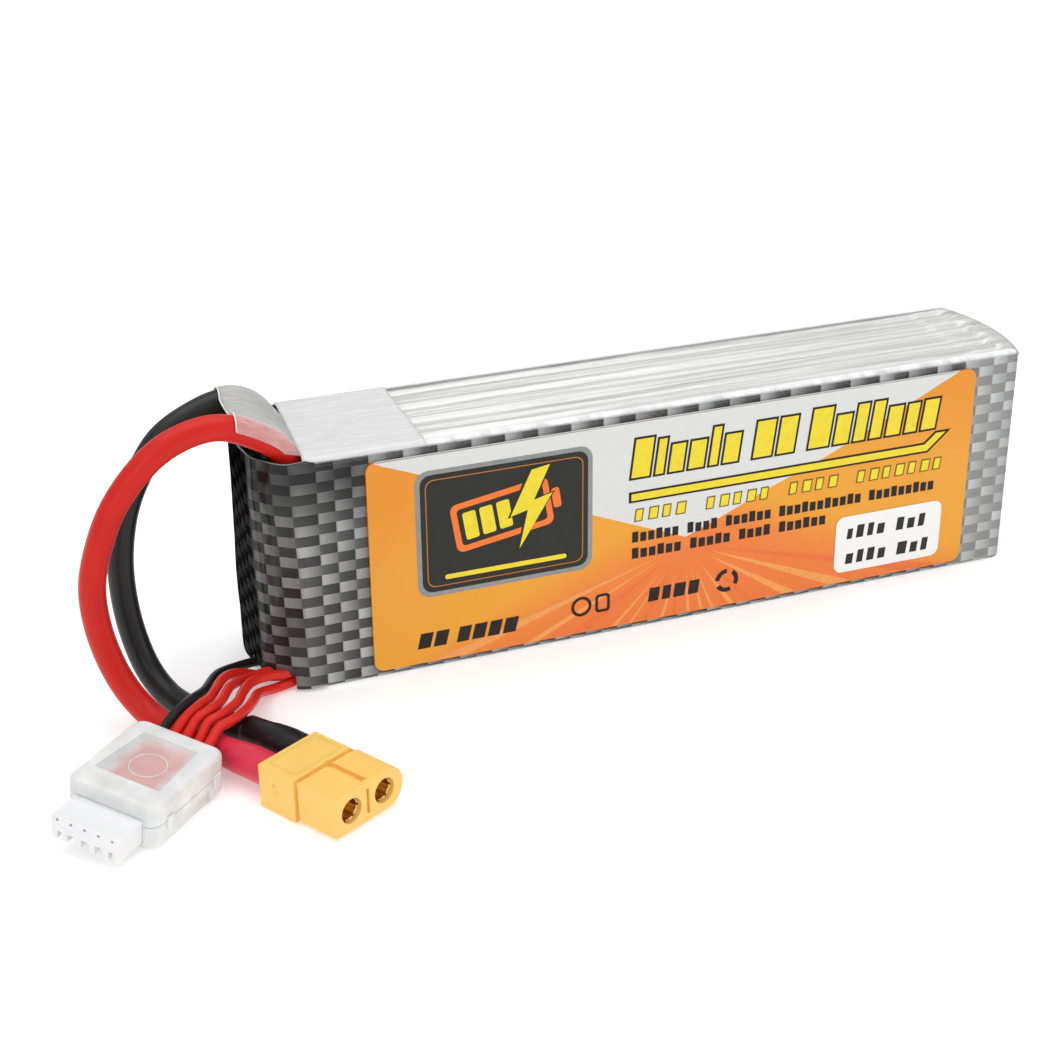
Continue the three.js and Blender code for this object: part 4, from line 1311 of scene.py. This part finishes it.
def pouch_cell(index, material):
    """A crowned pouch: its folded side seam lies along the top as a soft ridge."""
    middle = CELL_FIRST + index * CELL_PITCH
    along = [CELL_FULL + (CELL_FOLD - CELL_FULL) * i / 60 for i in range(61)]
    stations = [6, 7.6, TAB_SEAM_END, 9.6, *along, 135.1, CELL_BACK]
    section = CELL_SECTION + [(a, PACK_HEIGHT - b) for a, b in CELL_SECTION[::-1]]
    rings = []
    for x in stations:
        ring = []
        for a, b in section:
            off_middle = b - PACK_HEIGHT / 2
            uneven = 0.16 * waves(x * 0.05, index * 7 + a * 0.4, b * 0.04)
            uneven += 0.13 * waves(x * 0.16, index * 11 + a * 0.9, b * 0.3)
            lift = (1 if off_middle > 0 else -1) * uneven * clamped((abs(off_middle) - 18) / 4)
            ring.append((x, middle + a * cell_thinning(x), clamped(b + lift, CELL_LOW, CELL_HIGH)))
        rings.append(ring)
    bm = bmesh.new()
    sweep(bm, rings)
    return finish(f"pouch_cell_{index + 1}", bm, PACK, material, f"cell_{index + 1}")


def tail_end(across):
    """Where the film's top ends over the bulging tail, at a distance across the pack."""
    return PACK_LENGTH + tail_bulge(across) + 0.1


def edge_drop(reach, radius):
    """How far a rounded edge has fallen at a distance in from its side."""
    if reach >= radius:
        return 0.0
    return radius - math.sqrt(max(0.0, radius ** 2 - (radius - reach) ** 2))


def side_drop(y, radius):
    """How far the pack's long edges have fallen at a distance across it."""
    return edge_drop(min(y, PACK_THICK - y), radius)


def film_place(station, a, b):
    """Where a point of the film's section lies at a station along the pack."""
    x, fall = station, 0.0
    upper, near = b > PACK_HEIGHT / 2, a < PACK_THICK / 2
    if station > FILM_TAIL:
        end = tail_end(a)
        x += (end - PACK_LENGTH) * (station - FILM_TAIL) / (PACK_LENGTH - FILM_TAIL)
        fall = edge_drop(end - x, TAIL_ROUND) * (1 if upper else -1)
    # Between its rounded edges the film lies drawn into the print, as clear as its gloss.
    if FILM_EDGE < b < PACK_HEIGHT - FILM_EDGE:
        a = FILM_TUCK if near else PACK_THICK - FILM_TUCK
    if b > PACK_HEIGHT - 0.5:
        fall += FILM_SAG - FILM_SAG * waves(x * 0.12, a * 0.25, 3)
    # It is drawn in a little at its first end.
    if station < FILM_START:
        if 0.01 <= b <= PACK_HEIGHT - 0.01:
            a += FILM_PULL if near else -FILM_PULL
        fall += 2 * FILM_PULL if upper else -2 * FILM_PULL
    return x, a, b - fall


def film_sleeve(material):
    """The shrunk film: taut along the faces, drawn in over the edges at both ends."""
    stations = [3.0, FILM_START, 4.2] + [6 + 127 * i / 50 for i in range(51)]
    stations += [FILM_TAIL + (PACK_LENGTH - FILM_TAIL) * share for share in (0, 0.35, 0.65, 0.82, 0.93, 1)]
    section = rounded(0, 0, PACK_THICK, PACK_HEIGHT, FILM_RADIUS, 12)
    outer = [[film_place(station, a, b) for a, b in section] for station in stations]
    inner = [[(x, y + FILM_WALL * (1 - 2 * y / PACK_THICK), z + FILM_WALL * (1 - 2 * z / PACK_HEIGHT))
              for x, y, z in ring] for ring in outer]
    bm = bmesh.new()
    sweep(bm, outer + inner[::-1], closed=True)
    return finish("shrink_film_sleeve", bm, PACK, material, "clear_shrink_film")


def patch_left(across):
    return 1.2 + 1.9 * across


def patch_sheet(material):
    """Whitish tape over the lead end of the top, following the film's waves."""
    rows, columns = 24, 30
    top, foot = [], []
    for i in range(columns + 1):
        top_line, foot_line = [], []
        for j in range(rows + 1):
            across = j / rows
            left = patch_left(across)
            x = left + (PATCH_RIGHT + 0.6 * across - left) * i / columns
            y = PATCH_NEAR + PATCH_WIDTH * across
            tucked = max(0.0, 1 - (x - left) / 1.6) * max(0.0, 1 - y / 2.6)
            y += 1.1 * tucked
            low = PACK_HEIGHT + 0.03 - side_drop(y, FILM_RADIUS) - 0.5 * tucked
            top_line.append((x, y, low + PATCH_WALL + 0.07 * waves(x * 0.2, y * 0.5, 1)))
            foot_line.append((x, y, low))
        top.append(top_line)
        foot.append(foot_line)
    bm = bmesh.new()
    add_sheet(bm, top, foot)
    return finish("tape_over_leads", bm, PACK, material, "tape_patch")


def seam_point(y, share):
    """A point of the folded rear seams: share goes from where they start to the tail's rim."""
    end = tail_end(y) - 0.1
    x = SEAM_START + (end - SEAM_START) * share
    # The valleys between the cells fill up towards the tail, and the seams rise clear of them.
    filled, clear = min(1.0, (x - SEAM_START) / 10), min(1.0, (x - SEAM_START) / 5)
    ridge = max(SEAM_HEIGHT + 3.4 * filled, cell_top(y)) - 0.3 + 0.5 * clear
    z = ridge + (SEAM_RIM - ridge) * clamped((x - CELL_BACK) / (end - CELL_BACK))
    z += 0.06 * waves(x * 0.7, y * 0.6, 5)
    return x, y, min(z, PACK_HEIGHT - 0.2 - side_drop(y, FILM_RADIUS)) - edge_drop(end - x, 0.5)


def rear_seams(material):
    """The cells' rear seams, folded up over the tail and drawn down at its rim, above and below."""
    columns = [0.75 + (PACK_THICK - 1.5) * column / 84 for column in range(85)]
    upper = [[seam_point(y, step / 30) for y in columns] for step in range(31)]
    lower = [[(x, y, z - SEAM_WALL) for x, y, z in row] for row in upper]
    bm = bmesh.new()
    add_sheet(bm, upper, lower)
    turned = [[[(x, y, PACK_HEIGHT - z) for x, y, z in row] for row in rows] for rows in (upper, lower)]
    add_sheet(bm, *turned)
    return finish("folded_rear_seams", bm, PACK, material)


def tail_rim(material):
    """The film's cut edge along the tail's top rim."""
    path = []
    for column in range(49):
        y = 0.4 + (PACK_THICK - 0.8) * column / 48
        path.append(Vector((tail_end(y) - 0.08, y, PACK_HEIGHT - 0.5 - side_drop(y, 1.0))))
    return bead("tail_film_edge", path, 0.17, PACK, material)


def hood_rows(leads):
    """Rows of crest points and their outward directions, from the tape's edge out along the leads."""
    to_pack = PACK.inverted()
    lines = []
    for points in leads:
        local = [to_pack @ p for p in points]
        lines.append([p for p in local if p.z > HOOD_FROM and p.x > HOOD_TO])
    steps, columns = 16, 26
    rows = []
    for step in range(steps + 1):
        share = step / steps
        near, far = [line[int(share * (len(line) - 1))] for line in lines]
        slope = Vector((0.45 - 0.35 * share, 0, 0.85 + 0.15 * share)).normalized()
        row = []
        for column in range(columns + 1):
            across = column / columns
            y = near.y - HOOD_SIDE + (far.y - near.y + 2 * HOOD_SIDE) * across
            base = near.lerp(far, clamped((y - near.y) / (far.y - near.y)))
            base.y = y
            # The film lies round over each lead, and sags between them.
            off = min(abs(y - near.y), abs(y - far.y))
            reach = math.sqrt(max(0.0, HOOD_RADIUS ** 2 - off ** 2))
            if near.y + 2.4 < y < far.y - 2.4:
                reach = max(reach, 1.7 - 0.7 * math.sin(math.pi * across))
            row.append((base + slope * (reach + 0.1), slope))
        rows.append(row)
    start = []
    for point, _ in rows[0]:
        left = patch_left(point.y / PACK_THICK) + 0.15
        start.append((Vector((left, point.y, PACK_HEIGHT + 0.22)), Vector((0.3, 0, 0.95))))
    return [start] + rows


def lead_hood(material, leads):
    """The film's loose end: it hugs each lead as it bends away and spans between them."""
    rows = hood_rows(leads)
    bm = bmesh.new()
    add_sheet(bm, [[point for point, _ in row] for row in rows],
              [[point - slope * HOOD_WALL for point, slope in row] for row in rows])
    return finish("film_over_leads", bm, PACK, material, "lead_film_collar")


def hood_hem(material, leads):
    """The white cut edge where the film over the leads ends."""
    return bead("film_cut_edge", [point for point, _ in hood_rows(leads)[-1]], 0.13, PACK, material)


# ---- labels ---------------------------------------------------------------

LABEL_LEFT, LABEL_RIGHT = 11.4, 128.2
LABEL_LOW, LABEL_HIGH = 1.7, 41.0
LABEL_CORNER = 1.8
LABEL_DEPTH = 0.5
INK_STEP = 0.02
INK_DEPTH = 0.8
SKY_EDGE_DEPTH = 17
# The left edge of the lines of mock text, and the point that the streaks fan out from.
TEXT_LEFT = 59.4
HORIZON = (70.0, 17.2)
FAN_REACH = 130
STICKER = (100.8, 3.9, 123.2, 15.4)
# Box of the badge: left, low, right and high.
BADGE = (19.7, 14.4, 51.9, 38.1)
RECYCLING = (78.6, 6.8)


def face_at(node, side):
    """Where a node's box starts (side 0) or ends (side 1), across the pack."""
    return (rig.box(node)[side].y - PACK_ORIGIN.y) / MM


LABEL_FACE = face_at("front_label", 0)
STICKER_FACE = face_at("rating_sticker", 0)
BACK_FACE = face_at("back_label", 1)


class Print:
    """Draws flat shapes on one face of the pack, each level a little prouder."""

    def __init__(self, side):
        self.side = side
        self.shapes = defaultdict(bmesh.new)

    def on_level(self, level):
        if self.side == "front":
            return lambda a, b, depth: (a, LABEL_FACE - INK_STEP * (level + depth), b)
        return lambda a, b, depth: (PACK_LENGTH - a, BACK_FACE + INK_STEP * (level + depth), b)

    def area(self, colour, loop, level, depth=INK_DEPTH):
        add_prism(self.shapes[colour], loop, -depth, 0, self.on_level(level))

    def border(self, colour, outer, inner, level):
        add_frame(self.shapes[colour], outer, inner, -INK_DEPTH, 0, self.on_level(level))

    def finish(self, inks):
        for colour, bm in self.shapes.items():
            finish(f"{self.side}_print_{colour}", bm, PACK, inks[colour], smooth=False)


def slanted(left, low, width, height, lean=0.12):
    over, top = lean * height, low + height
    return [(left, low), (left + width, low), (left + width + over, top), (left + over, top)]


def shrunk_box(box, margin, radius):
    left, low, right, high = box
    return rounded(left + margin, low + margin, right - margin, high - margin, radius)


def grown(loop, margin):
    """Moves a convex loop's sides outwards by the margin."""
    result = []
    for i, point in enumerate(loop):
        before, after = loop[i - 1], loop[(i + 1) % len(loop)]
        first = Vector((point[0] - before[0], point[1] - before[1])).normalized()
        second = Vector((after[0] - point[0], after[1] - point[1])).normalized()
        outward = Vector((first.y + second.y, -first.x - second.x)).normalized()
        reach = margin / max(0.35, outward.x * first.y - outward.y * first.x)
        result.append((point[0] + outward.x * reach, point[1] + outward.y * reach))
    return result


def keep_side(loop, inside):
    """The part of a loop where inside is positive."""
    kept = []
    for a, b in zip(loop, loop[1:] + loop[:1]):
        value_a, value_b = inside(a), inside(b)
        if value_a >= 0:
            kept.append(a)
        if value_a * value_b < 0:
            share = value_a / (value_a - value_b)
            kept.append((a[0] + (b[0] - a[0]) * share, a[1] + (b[1] - a[1]) * share))
    return kept


def fan_point(reach, angle):
    turn = math.radians(angle)
    return HORIZON[0] + reach * math.cos(turn), HORIZON[1] - 1.5 + reach * math.sin(turn)


def label_ground(sheet):
    """The white sky over an orange ground, and the streaks that fan out from the horizon."""
    bend, top = arc(LABEL_LEFT + LABEL_CORNER, LABEL_HIGH - LABEL_CORNER, LABEL_CORNER, 105, 90, 1)
    sky = [(19.8, 38.0), HORIZON, (76.7, 19.8), (85.6, 23.7), (96.3, 27.7), (104.9, 31.6), (115.5, 36.6),
           (124.6, LABEL_HIGH - 0.02), top, bend, (14.2, 40.2)]
    sheet.area("sky", sky, 1)
    # The sky is also printed over the label's top edge.
    edge = [(top[0], LABEL_HIGH - 0.1), (124.5, LABEL_HIGH - 0.1), (124.5, LABEL_HIGH + 0.07),
            (top[0], LABEL_HIGH + 0.07)]
    sheet.area("sky", edge, 1, SKY_EDGE_DEPTH)
    draw = random.Random(4)
    angle = 196.0
    while angle < 344:
        spread = draw.uniform(1.8, 4.6)
        corners = [fan_point(5.0, angle + spread / 2), fan_point(FAN_REACH, angle),
                   fan_point(FAN_REACH, angle + spread)]
        for inside in (lambda p: p[1] - LABEL_LOW - 0.15, lambda p: p[0] - LABEL_LEFT - 0.15,
                       lambda p: LABEL_RIGHT - 0.15 - p[0]):
            corners = keep_side(corners, inside)
        if len(corners) >= 3:
            sheet.area("glow" if draw.random() < 0.55 else "ember", corners, 1)
        angle += spread + draw.uniform(3.5, 9)


def badge(sheet):
    """A charcoal badge with a generic battery pictogram, a flash and a plain bar."""
    sheet.area("silver", shrunk_box(BADGE, 0, 2.4), 2)
    sheet.area("charcoal", shrunk_box(BADGE, 0.85, 1.9), 3)
    sheet.border("pinstripe", shrunk_box(BADGE, 1.75, 1.5), shrunk_box(BADGE, 1.93, 1.4), 4)
    left, low, right, high = BADGE
    turn = Matrix.Rotation(math.radians(9), 2)
    centre = Vector(((left + right) / 2, (low + high) / 2 + 1.6))

    def turned(loop):
        return [tuple(centre + turn @ Vector(point)) for point in loop]
    case = turned(rounded(-9.6, -4.6, 8.4, 4.6, 1.3))
    sheet.border("orange", case, turned(rounded(-8.5, -3.5, 7.3, 3.5, 0.7)), 4)
    sheet.area("orange", turned(rounded(8.7, -1.9, 10.2, 1.9, 0.5)), 4)
    for place in range(3):
        sheet.area("yellow", turned(rounded(-7.6 + 3.1 * place, -2.6, -5.2 + 3.1 * place, 2.6, 0.4)), 4)
    flash = turned([(5.9, 6.6), (0.7, -0.9), (4.0, -0.6), (1.3, -7.4), (8.9, 1.2), (5.4, 0.9), (9.3, 6.6)])
    middle = [sum(axis) / len(flash) for axis in zip(*flash)]
    swollen = [(a + math.copysign(0.5, a - middle[0]), b + math.copysign(0.3, b - middle[1]))
               for a, b in flash]
    sheet.area("charcoal", swollen, 5)
    sheet.area("yellow", flash, 6)
    sheet.area("yellow", rounded(24.6, 17.3, 47.0, 18.2, 0.42), 4)


def headline(sheet):
    """Three groups of outlined yellow bars over an underline, where a title would be."""
    groups = ((3.4, 1.5, 2.6, 2.9, 1.5, 2.9), (3.6, 3.3), (4.0, 2.9, 2.2, 2.2, 2.8, 2.3, 2.9))
    rises = ((7.2, 6.6, 5.2, 5.2, 7.2, 5.4), (6.9, 6.9), (7.5, 5.6, 7.1, 7.1, 5.6, 5.6, 5.8))
    x = 59.2
    for widths, heights in zip(groups, rises):
        for width, height in zip(widths, heights):
            bar = slanted(x, 30.5, width, height)
            sheet.area("dark", grown(bar, 0.42), 3)
            sheet.area("yellow", bar, 4)
            x += width + 1.15
        x += 1.9
    rim = [(58.8, 25.7), (119.1, 25.7), (123.7, 29.8), (120.4, 29.8), (118.1, 27.8), (58.8, 27.8)]
    line = [(59.3, 26.1), (118.9, 26.1), (122.6, 29.4), (120.6, 29.4), (118.3, 27.4), (59.3, 27.4)]
    sheet.area("dark", rim, 3)
    sheet.area("yellow", line, 4)


def grouped(groups, left, right, gap):
    """Groups of marks that fill a line: yields each one's number in its group, its start and its room."""
    unit = (right - left) / (sum(groups) + gap * (len(groups) - 1))
    x = left
    for count in groups:
        for place in range(count):
            yield place, x, unit
            x += unit
        x += gap * unit


def dash_row(sheet, right, low, words):
    """A row of short dashes in groups, as wide as a line of small print."""
    for place, x, unit in grouped(words, TEXT_LEFT, right, 0.9):
        height = 1.75 if place % 3 else 2.065
        sheet.area("dark", slanted(x + 0.12 * unit, low, 0.74 * unit, height, 0), 3)


def outline_row(sheet):
    """Small outlined tiles in four groups under the underline."""
    for place, x, unit in grouped((4, 5, 4, 7), 59.6, 122.8, 1.2):
        tile = slanted(x + 0.25, 21.9, unit - (0.75 if place % 2 else 1.05), 2.5)
        sheet.area("olive", tile, 3)
        sheet.area("yellow", grown(tile, -0.24), 4)


def block_row(sheet, colour, x, low, widths, heights, gap, level, lean, space=0.0):
    """Slanted blocks in place of a short word; heights take turns, and a width of nothing is a space."""
    for place, width in enumerate(widths):
        if width:
            sheet.area(colour, slanted(x, low, width, heights[place % len(heights)], lean), level)
        x += (width or space) + gap


def small_symbols(sheet):
    """Generic marks along the foot: slanted blocks, a ring, a tile and a broken ring."""
    block_row(sheet, "dark", 19.2, 4.6, (2.3, 2.3, 0, 2.2, 2.3, 2.2, 2.4), [2.9], 0.62, 3, 0.25, 0.7)
    sheet.border("dark", circle(49.9, 7.0, 1.95), circle(49.9, 7.0, 1.4), 3)
    sheet.border("dark", rounded(52.6, 5.2, 55.4, 8.8, 0.7), rounded(53.1, 5.7, 54.9, 8.3, 0.4), 3)
    block_row(sheet, "dark", 62.9, 5.4, (2.0, 1.6, 2.2, 2.0), [2.7], 0.7, 3, 0.12)
    for start in (90, 210, 330):
        end = start + 84
        sheet.area("dark", arc(*RECYCLING, 2.35, start, end, 7) + arc(*RECYCLING, 1.5, end, start, 7), 3)


def sticker_rows(sheet):
    """Two rows of blocks on the white sticker, in place of a rating."""
    level = (LABEL_FACE - STICKER_FACE) / INK_STEP + 1
    rows = ((10.7, (1.1, 1.5, 1.2, 1.5, 0, 1.5, 1.5, 1.3)), (5.5, (1.5, 1.3, 1.5, 1.5, 0, 2.0, 1.5, 1.3)))
    for low, widths in rows:
        block_row(sheet, "charcoal", 103.1, low, widths, [2.1, 2.6, 2.6], 0.85, level, 0.1, 0.9)


def label_plate(node, face, outward, material, outline, thick=LABEL_DEPTH):
    """A flat sheet of the label stock with its outer side on the given face."""
    bm = bmesh.new()
    add_prism(bm, outline, face - outward * thick, face, upright)
    finish(f"{node}_sheet", bm, PACK, material, node, smooth=False)


def draw_label(side, inks):
    sheet = Print(side)
    label_ground(sheet)
    badge(sheet)
    headline(sheet)
    outline_row(sheet)
    dash_row(sheet, 121.2, 17.9, (6, 4, 6, 11, 9))
    dash_row(sheet, 98.6, 14.7, (6, 5, 4, 6))
    small_symbols(sheet)
    if side == "front":
        sticker_rows(sheet)
    sheet.finish(inks)


def make_labels():
    ground = sunset_material()
    front = rounded(LABEL_LEFT, LABEL_LOW, LABEL_RIGHT, LABEL_HIGH, LABEL_CORNER)
    back = rounded(PACK_LENGTH - LABEL_RIGHT, LABEL_LOW, PACK_LENGTH - LABEL_LEFT, LABEL_HIGH, LABEL_CORNER)
    label_plate("front_label", LABEL_FACE, -1, ground, front)
    label_plate("back_label", BACK_FACE, 1, ground, back)
    label_plate("rating_sticker", STICKER_FACE, -1, ink("sticker_white", (0.86, 0.86, 0.85), 0.35, 0.01),
                rounded(*STICKER, 1.7), 0.1)
    inks = {
        "sky": ink("ink_sky", (0.69, 0.70, 0.68), 0.28, 0.012),
        "glow": ink("ink_glow", (0.84, 0.34, 0.10)),
        "ember": ink("ink_ember", (0.78, 0.17, 0.045)),
        "silver": metal("ink_silver", (0.27, 0.28, 0.28), 0.4, 500),
        "charcoal": ink("ink_charcoal", (0.020, 0.021, 0.017), 0.3, 0.08),
        "pinstripe": ink("ink_pinstripe", (0.48, 0.17, 0.03)),
        "orange": ink("ink_orange", (0.86, 0.19, 0.03)),
        "olive": ink("ink_olive", (0.16, 0.12, 0.02)),
        "yellow": ink("ink_yellow", (0.82, 0.66, 0.035)),
        "dark": ink("ink_dark", (0.016, 0.010, 0.009), 0.3, 0.1),
    }
    draw_label("front", inks)
    draw_label("back", inks)


# ---- assembly -------------------------------------------------------------

def dress_hidden_parts():
    """Better materials on the CAD nodes that stay: tabs, board, joints, pads and pins."""
    along_pack = (1, 1, 8)
    finishes = {
        "_positive_tab": metal("rolled_aluminium", (0.78, 0.79, 0.80), 0.35, 700, along_pack),
        "_negative_tab": metal("rolled_copper", (0.72, 0.42, 0.28), 0.35, 700, along_pack),
        "adhesive_pad": moulded("adhesive_foam", (0.86, 0.86, 0.83), 0.8, 1500, 0.0001),
        "tab_board": moulded("solder_resist", (0.03, 0.17, 0.07), 0.35, 1200, 0.00004, 0.15),
        "solder_joint": metal("bright_solder", (0.66, 0.67, 0.69), 0.28, 900),
        "insulation_pad": moulded("nose_foam", (0.85, 0.85, 0.82), 0.85, 1500, 0.0001),
        "tail_foam_pad": moulded("tail_foam", (0.83, 0.83, 0.80), 0.85, 1500, 0.0001),
        "balance_contact": metal("tin_plate", (0.62, 0.63, 0.65), 0.3, 1500),
    }
    for name, node in nodes.items():
        for key, material in finishes.items():
            if key in name:
                node.data.materials.clear()
                node.data.materials.append(material)


def make_main_lead():
    """The two leads, their sleeves and the main connector, each with its companions."""
    silicone = {"red": moulded("red_silicone", (0.60, 0.014, 0.008), 0.4, 500, contrast=0.05, gloss=0.25),
                "black": moulded("black_silicone", (0.012, 0.012, 0.013), 0.38, 500, contrast=0.2)}
    sleeves = {"red": moulded("red_sleeve", (0.70, 0.035, 0.075), 0.33, 260, 0.00012, 0.08),
               "black": moulded("black_sleeve", (0.010, 0.010, 0.012), 0.36, 260, 0.00012, 0.2)}
    amber = moulded("amber_nylon", (0.93, 0.59, 0.15), 0.42, 900, 0.00002, 0.035,
                    Subsurface_Weight=0.2, Subsurface_Scale=0.001)
    gold = metal("gold_plate", (0.83, 0.55, 0.22), 0.26, 1800)
    cords = []
    companions = [[main_housing(amber), panel_marks(amber)], []]
    for colour, pole, along in zip(("red", "black"), ("positive", "negative"), companions):
        cords.append(cord_piece(f"{colour}_lead_cable", LEAD_ROUTES[colour], LEAD_RADIUS, silicone[colour],
                                f"{colour}_lead"))
        along += [heat_shrink(colour, sleeves[colour]), main_contact(pole, SOCKETS[colour], gold)]
    leads = [points for _, points in cords]
    hem = film_material("film_hem", 0.7, 0.25, 0.2, 0.2, tone=0.92)[0].material
    companions[0] += [lead_hood(hood_film(), leads), hood_hem(hem, leads)]
    for (cable, points), along in zip(cords, companions):
        declare_cord(cable, points, LEAD_RADIUS, "medium", along)


def make_balance_lead():
    """The five wires, the balance plug and its grip, which goes with the first wire."""
    red = moulded("red_wire", (0.70, 0.020, 0.012), 0.4, 700, contrast=0.05, gloss=0.28)
    black = moulded("black_wire", (0.013, 0.013, 0.014), 0.36, 700, contrast=0.2)
    nylon = moulded("white_nylon", (0.82, 0.82, 0.83), 0.36, 800, 0.00002, 0.02,
                    Subsurface_Weight=0.25, Subsurface_Scale=0.001)
    frosted = frosted_material("frosted_grip", 0.80, 0.92)[0].material
    ends = [balance_plug(nylon), grip_base(frosted), grip_cover(frosted), grip_window(window_material()),
            thumb_ring(frosted), grip_latches(frosted)]
    for number, route in enumerate(BALANCE_ROUTES, 1):
        first = number == 1
        wire, points = cord_piece(f"balance_cable_{number}", route, WIRE_RADIUS, black if first else red,
                                  f"balance_wire_{number}")
        pin = nodes[f"balance_contact_{number}"]
        declare_cord(wire, points, WIRE_RADIUS, "limp", [pin, *ends] if first else [pin])


def declare_cord(cable, points, radius, stiffness, companions):
    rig.cord(cable, exit=points[0], length=round(distances(points)[-1], 3), diameter=2 * radius * MM,
            far_end="connector", stiffness=stiffness, lay="loose", with_pieces=companions)


def make_pack():
    foil = foil_material()
    for index in range(4):
        pouch_cell(index, foil)
    printed_cover(carbon_material())
    film_sleeve(sleeve_film())
    rear_seams(foil)
    tail_rim(film_material("film_rim", 0.85, 0.1, 0.1, 0.3, tone=0.6)[0].material)
    patch_sheet(film_material("frosted_tape", 0.80, 0.12, 0.1, 0.3, (30, 240, 240), 0.80)[0].material)


make_camera()
make_stage()
make_main_lead()
make_balance_lead()
make_pack()
make_labels()
dress_hidden_parts()
visual_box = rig.bounds()
with open("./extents.json", "w") as file:
    json.dump({"cad": [list(corner) for corner in cad_box], "visual": [list(corner) for corner in visual_box]}, file)
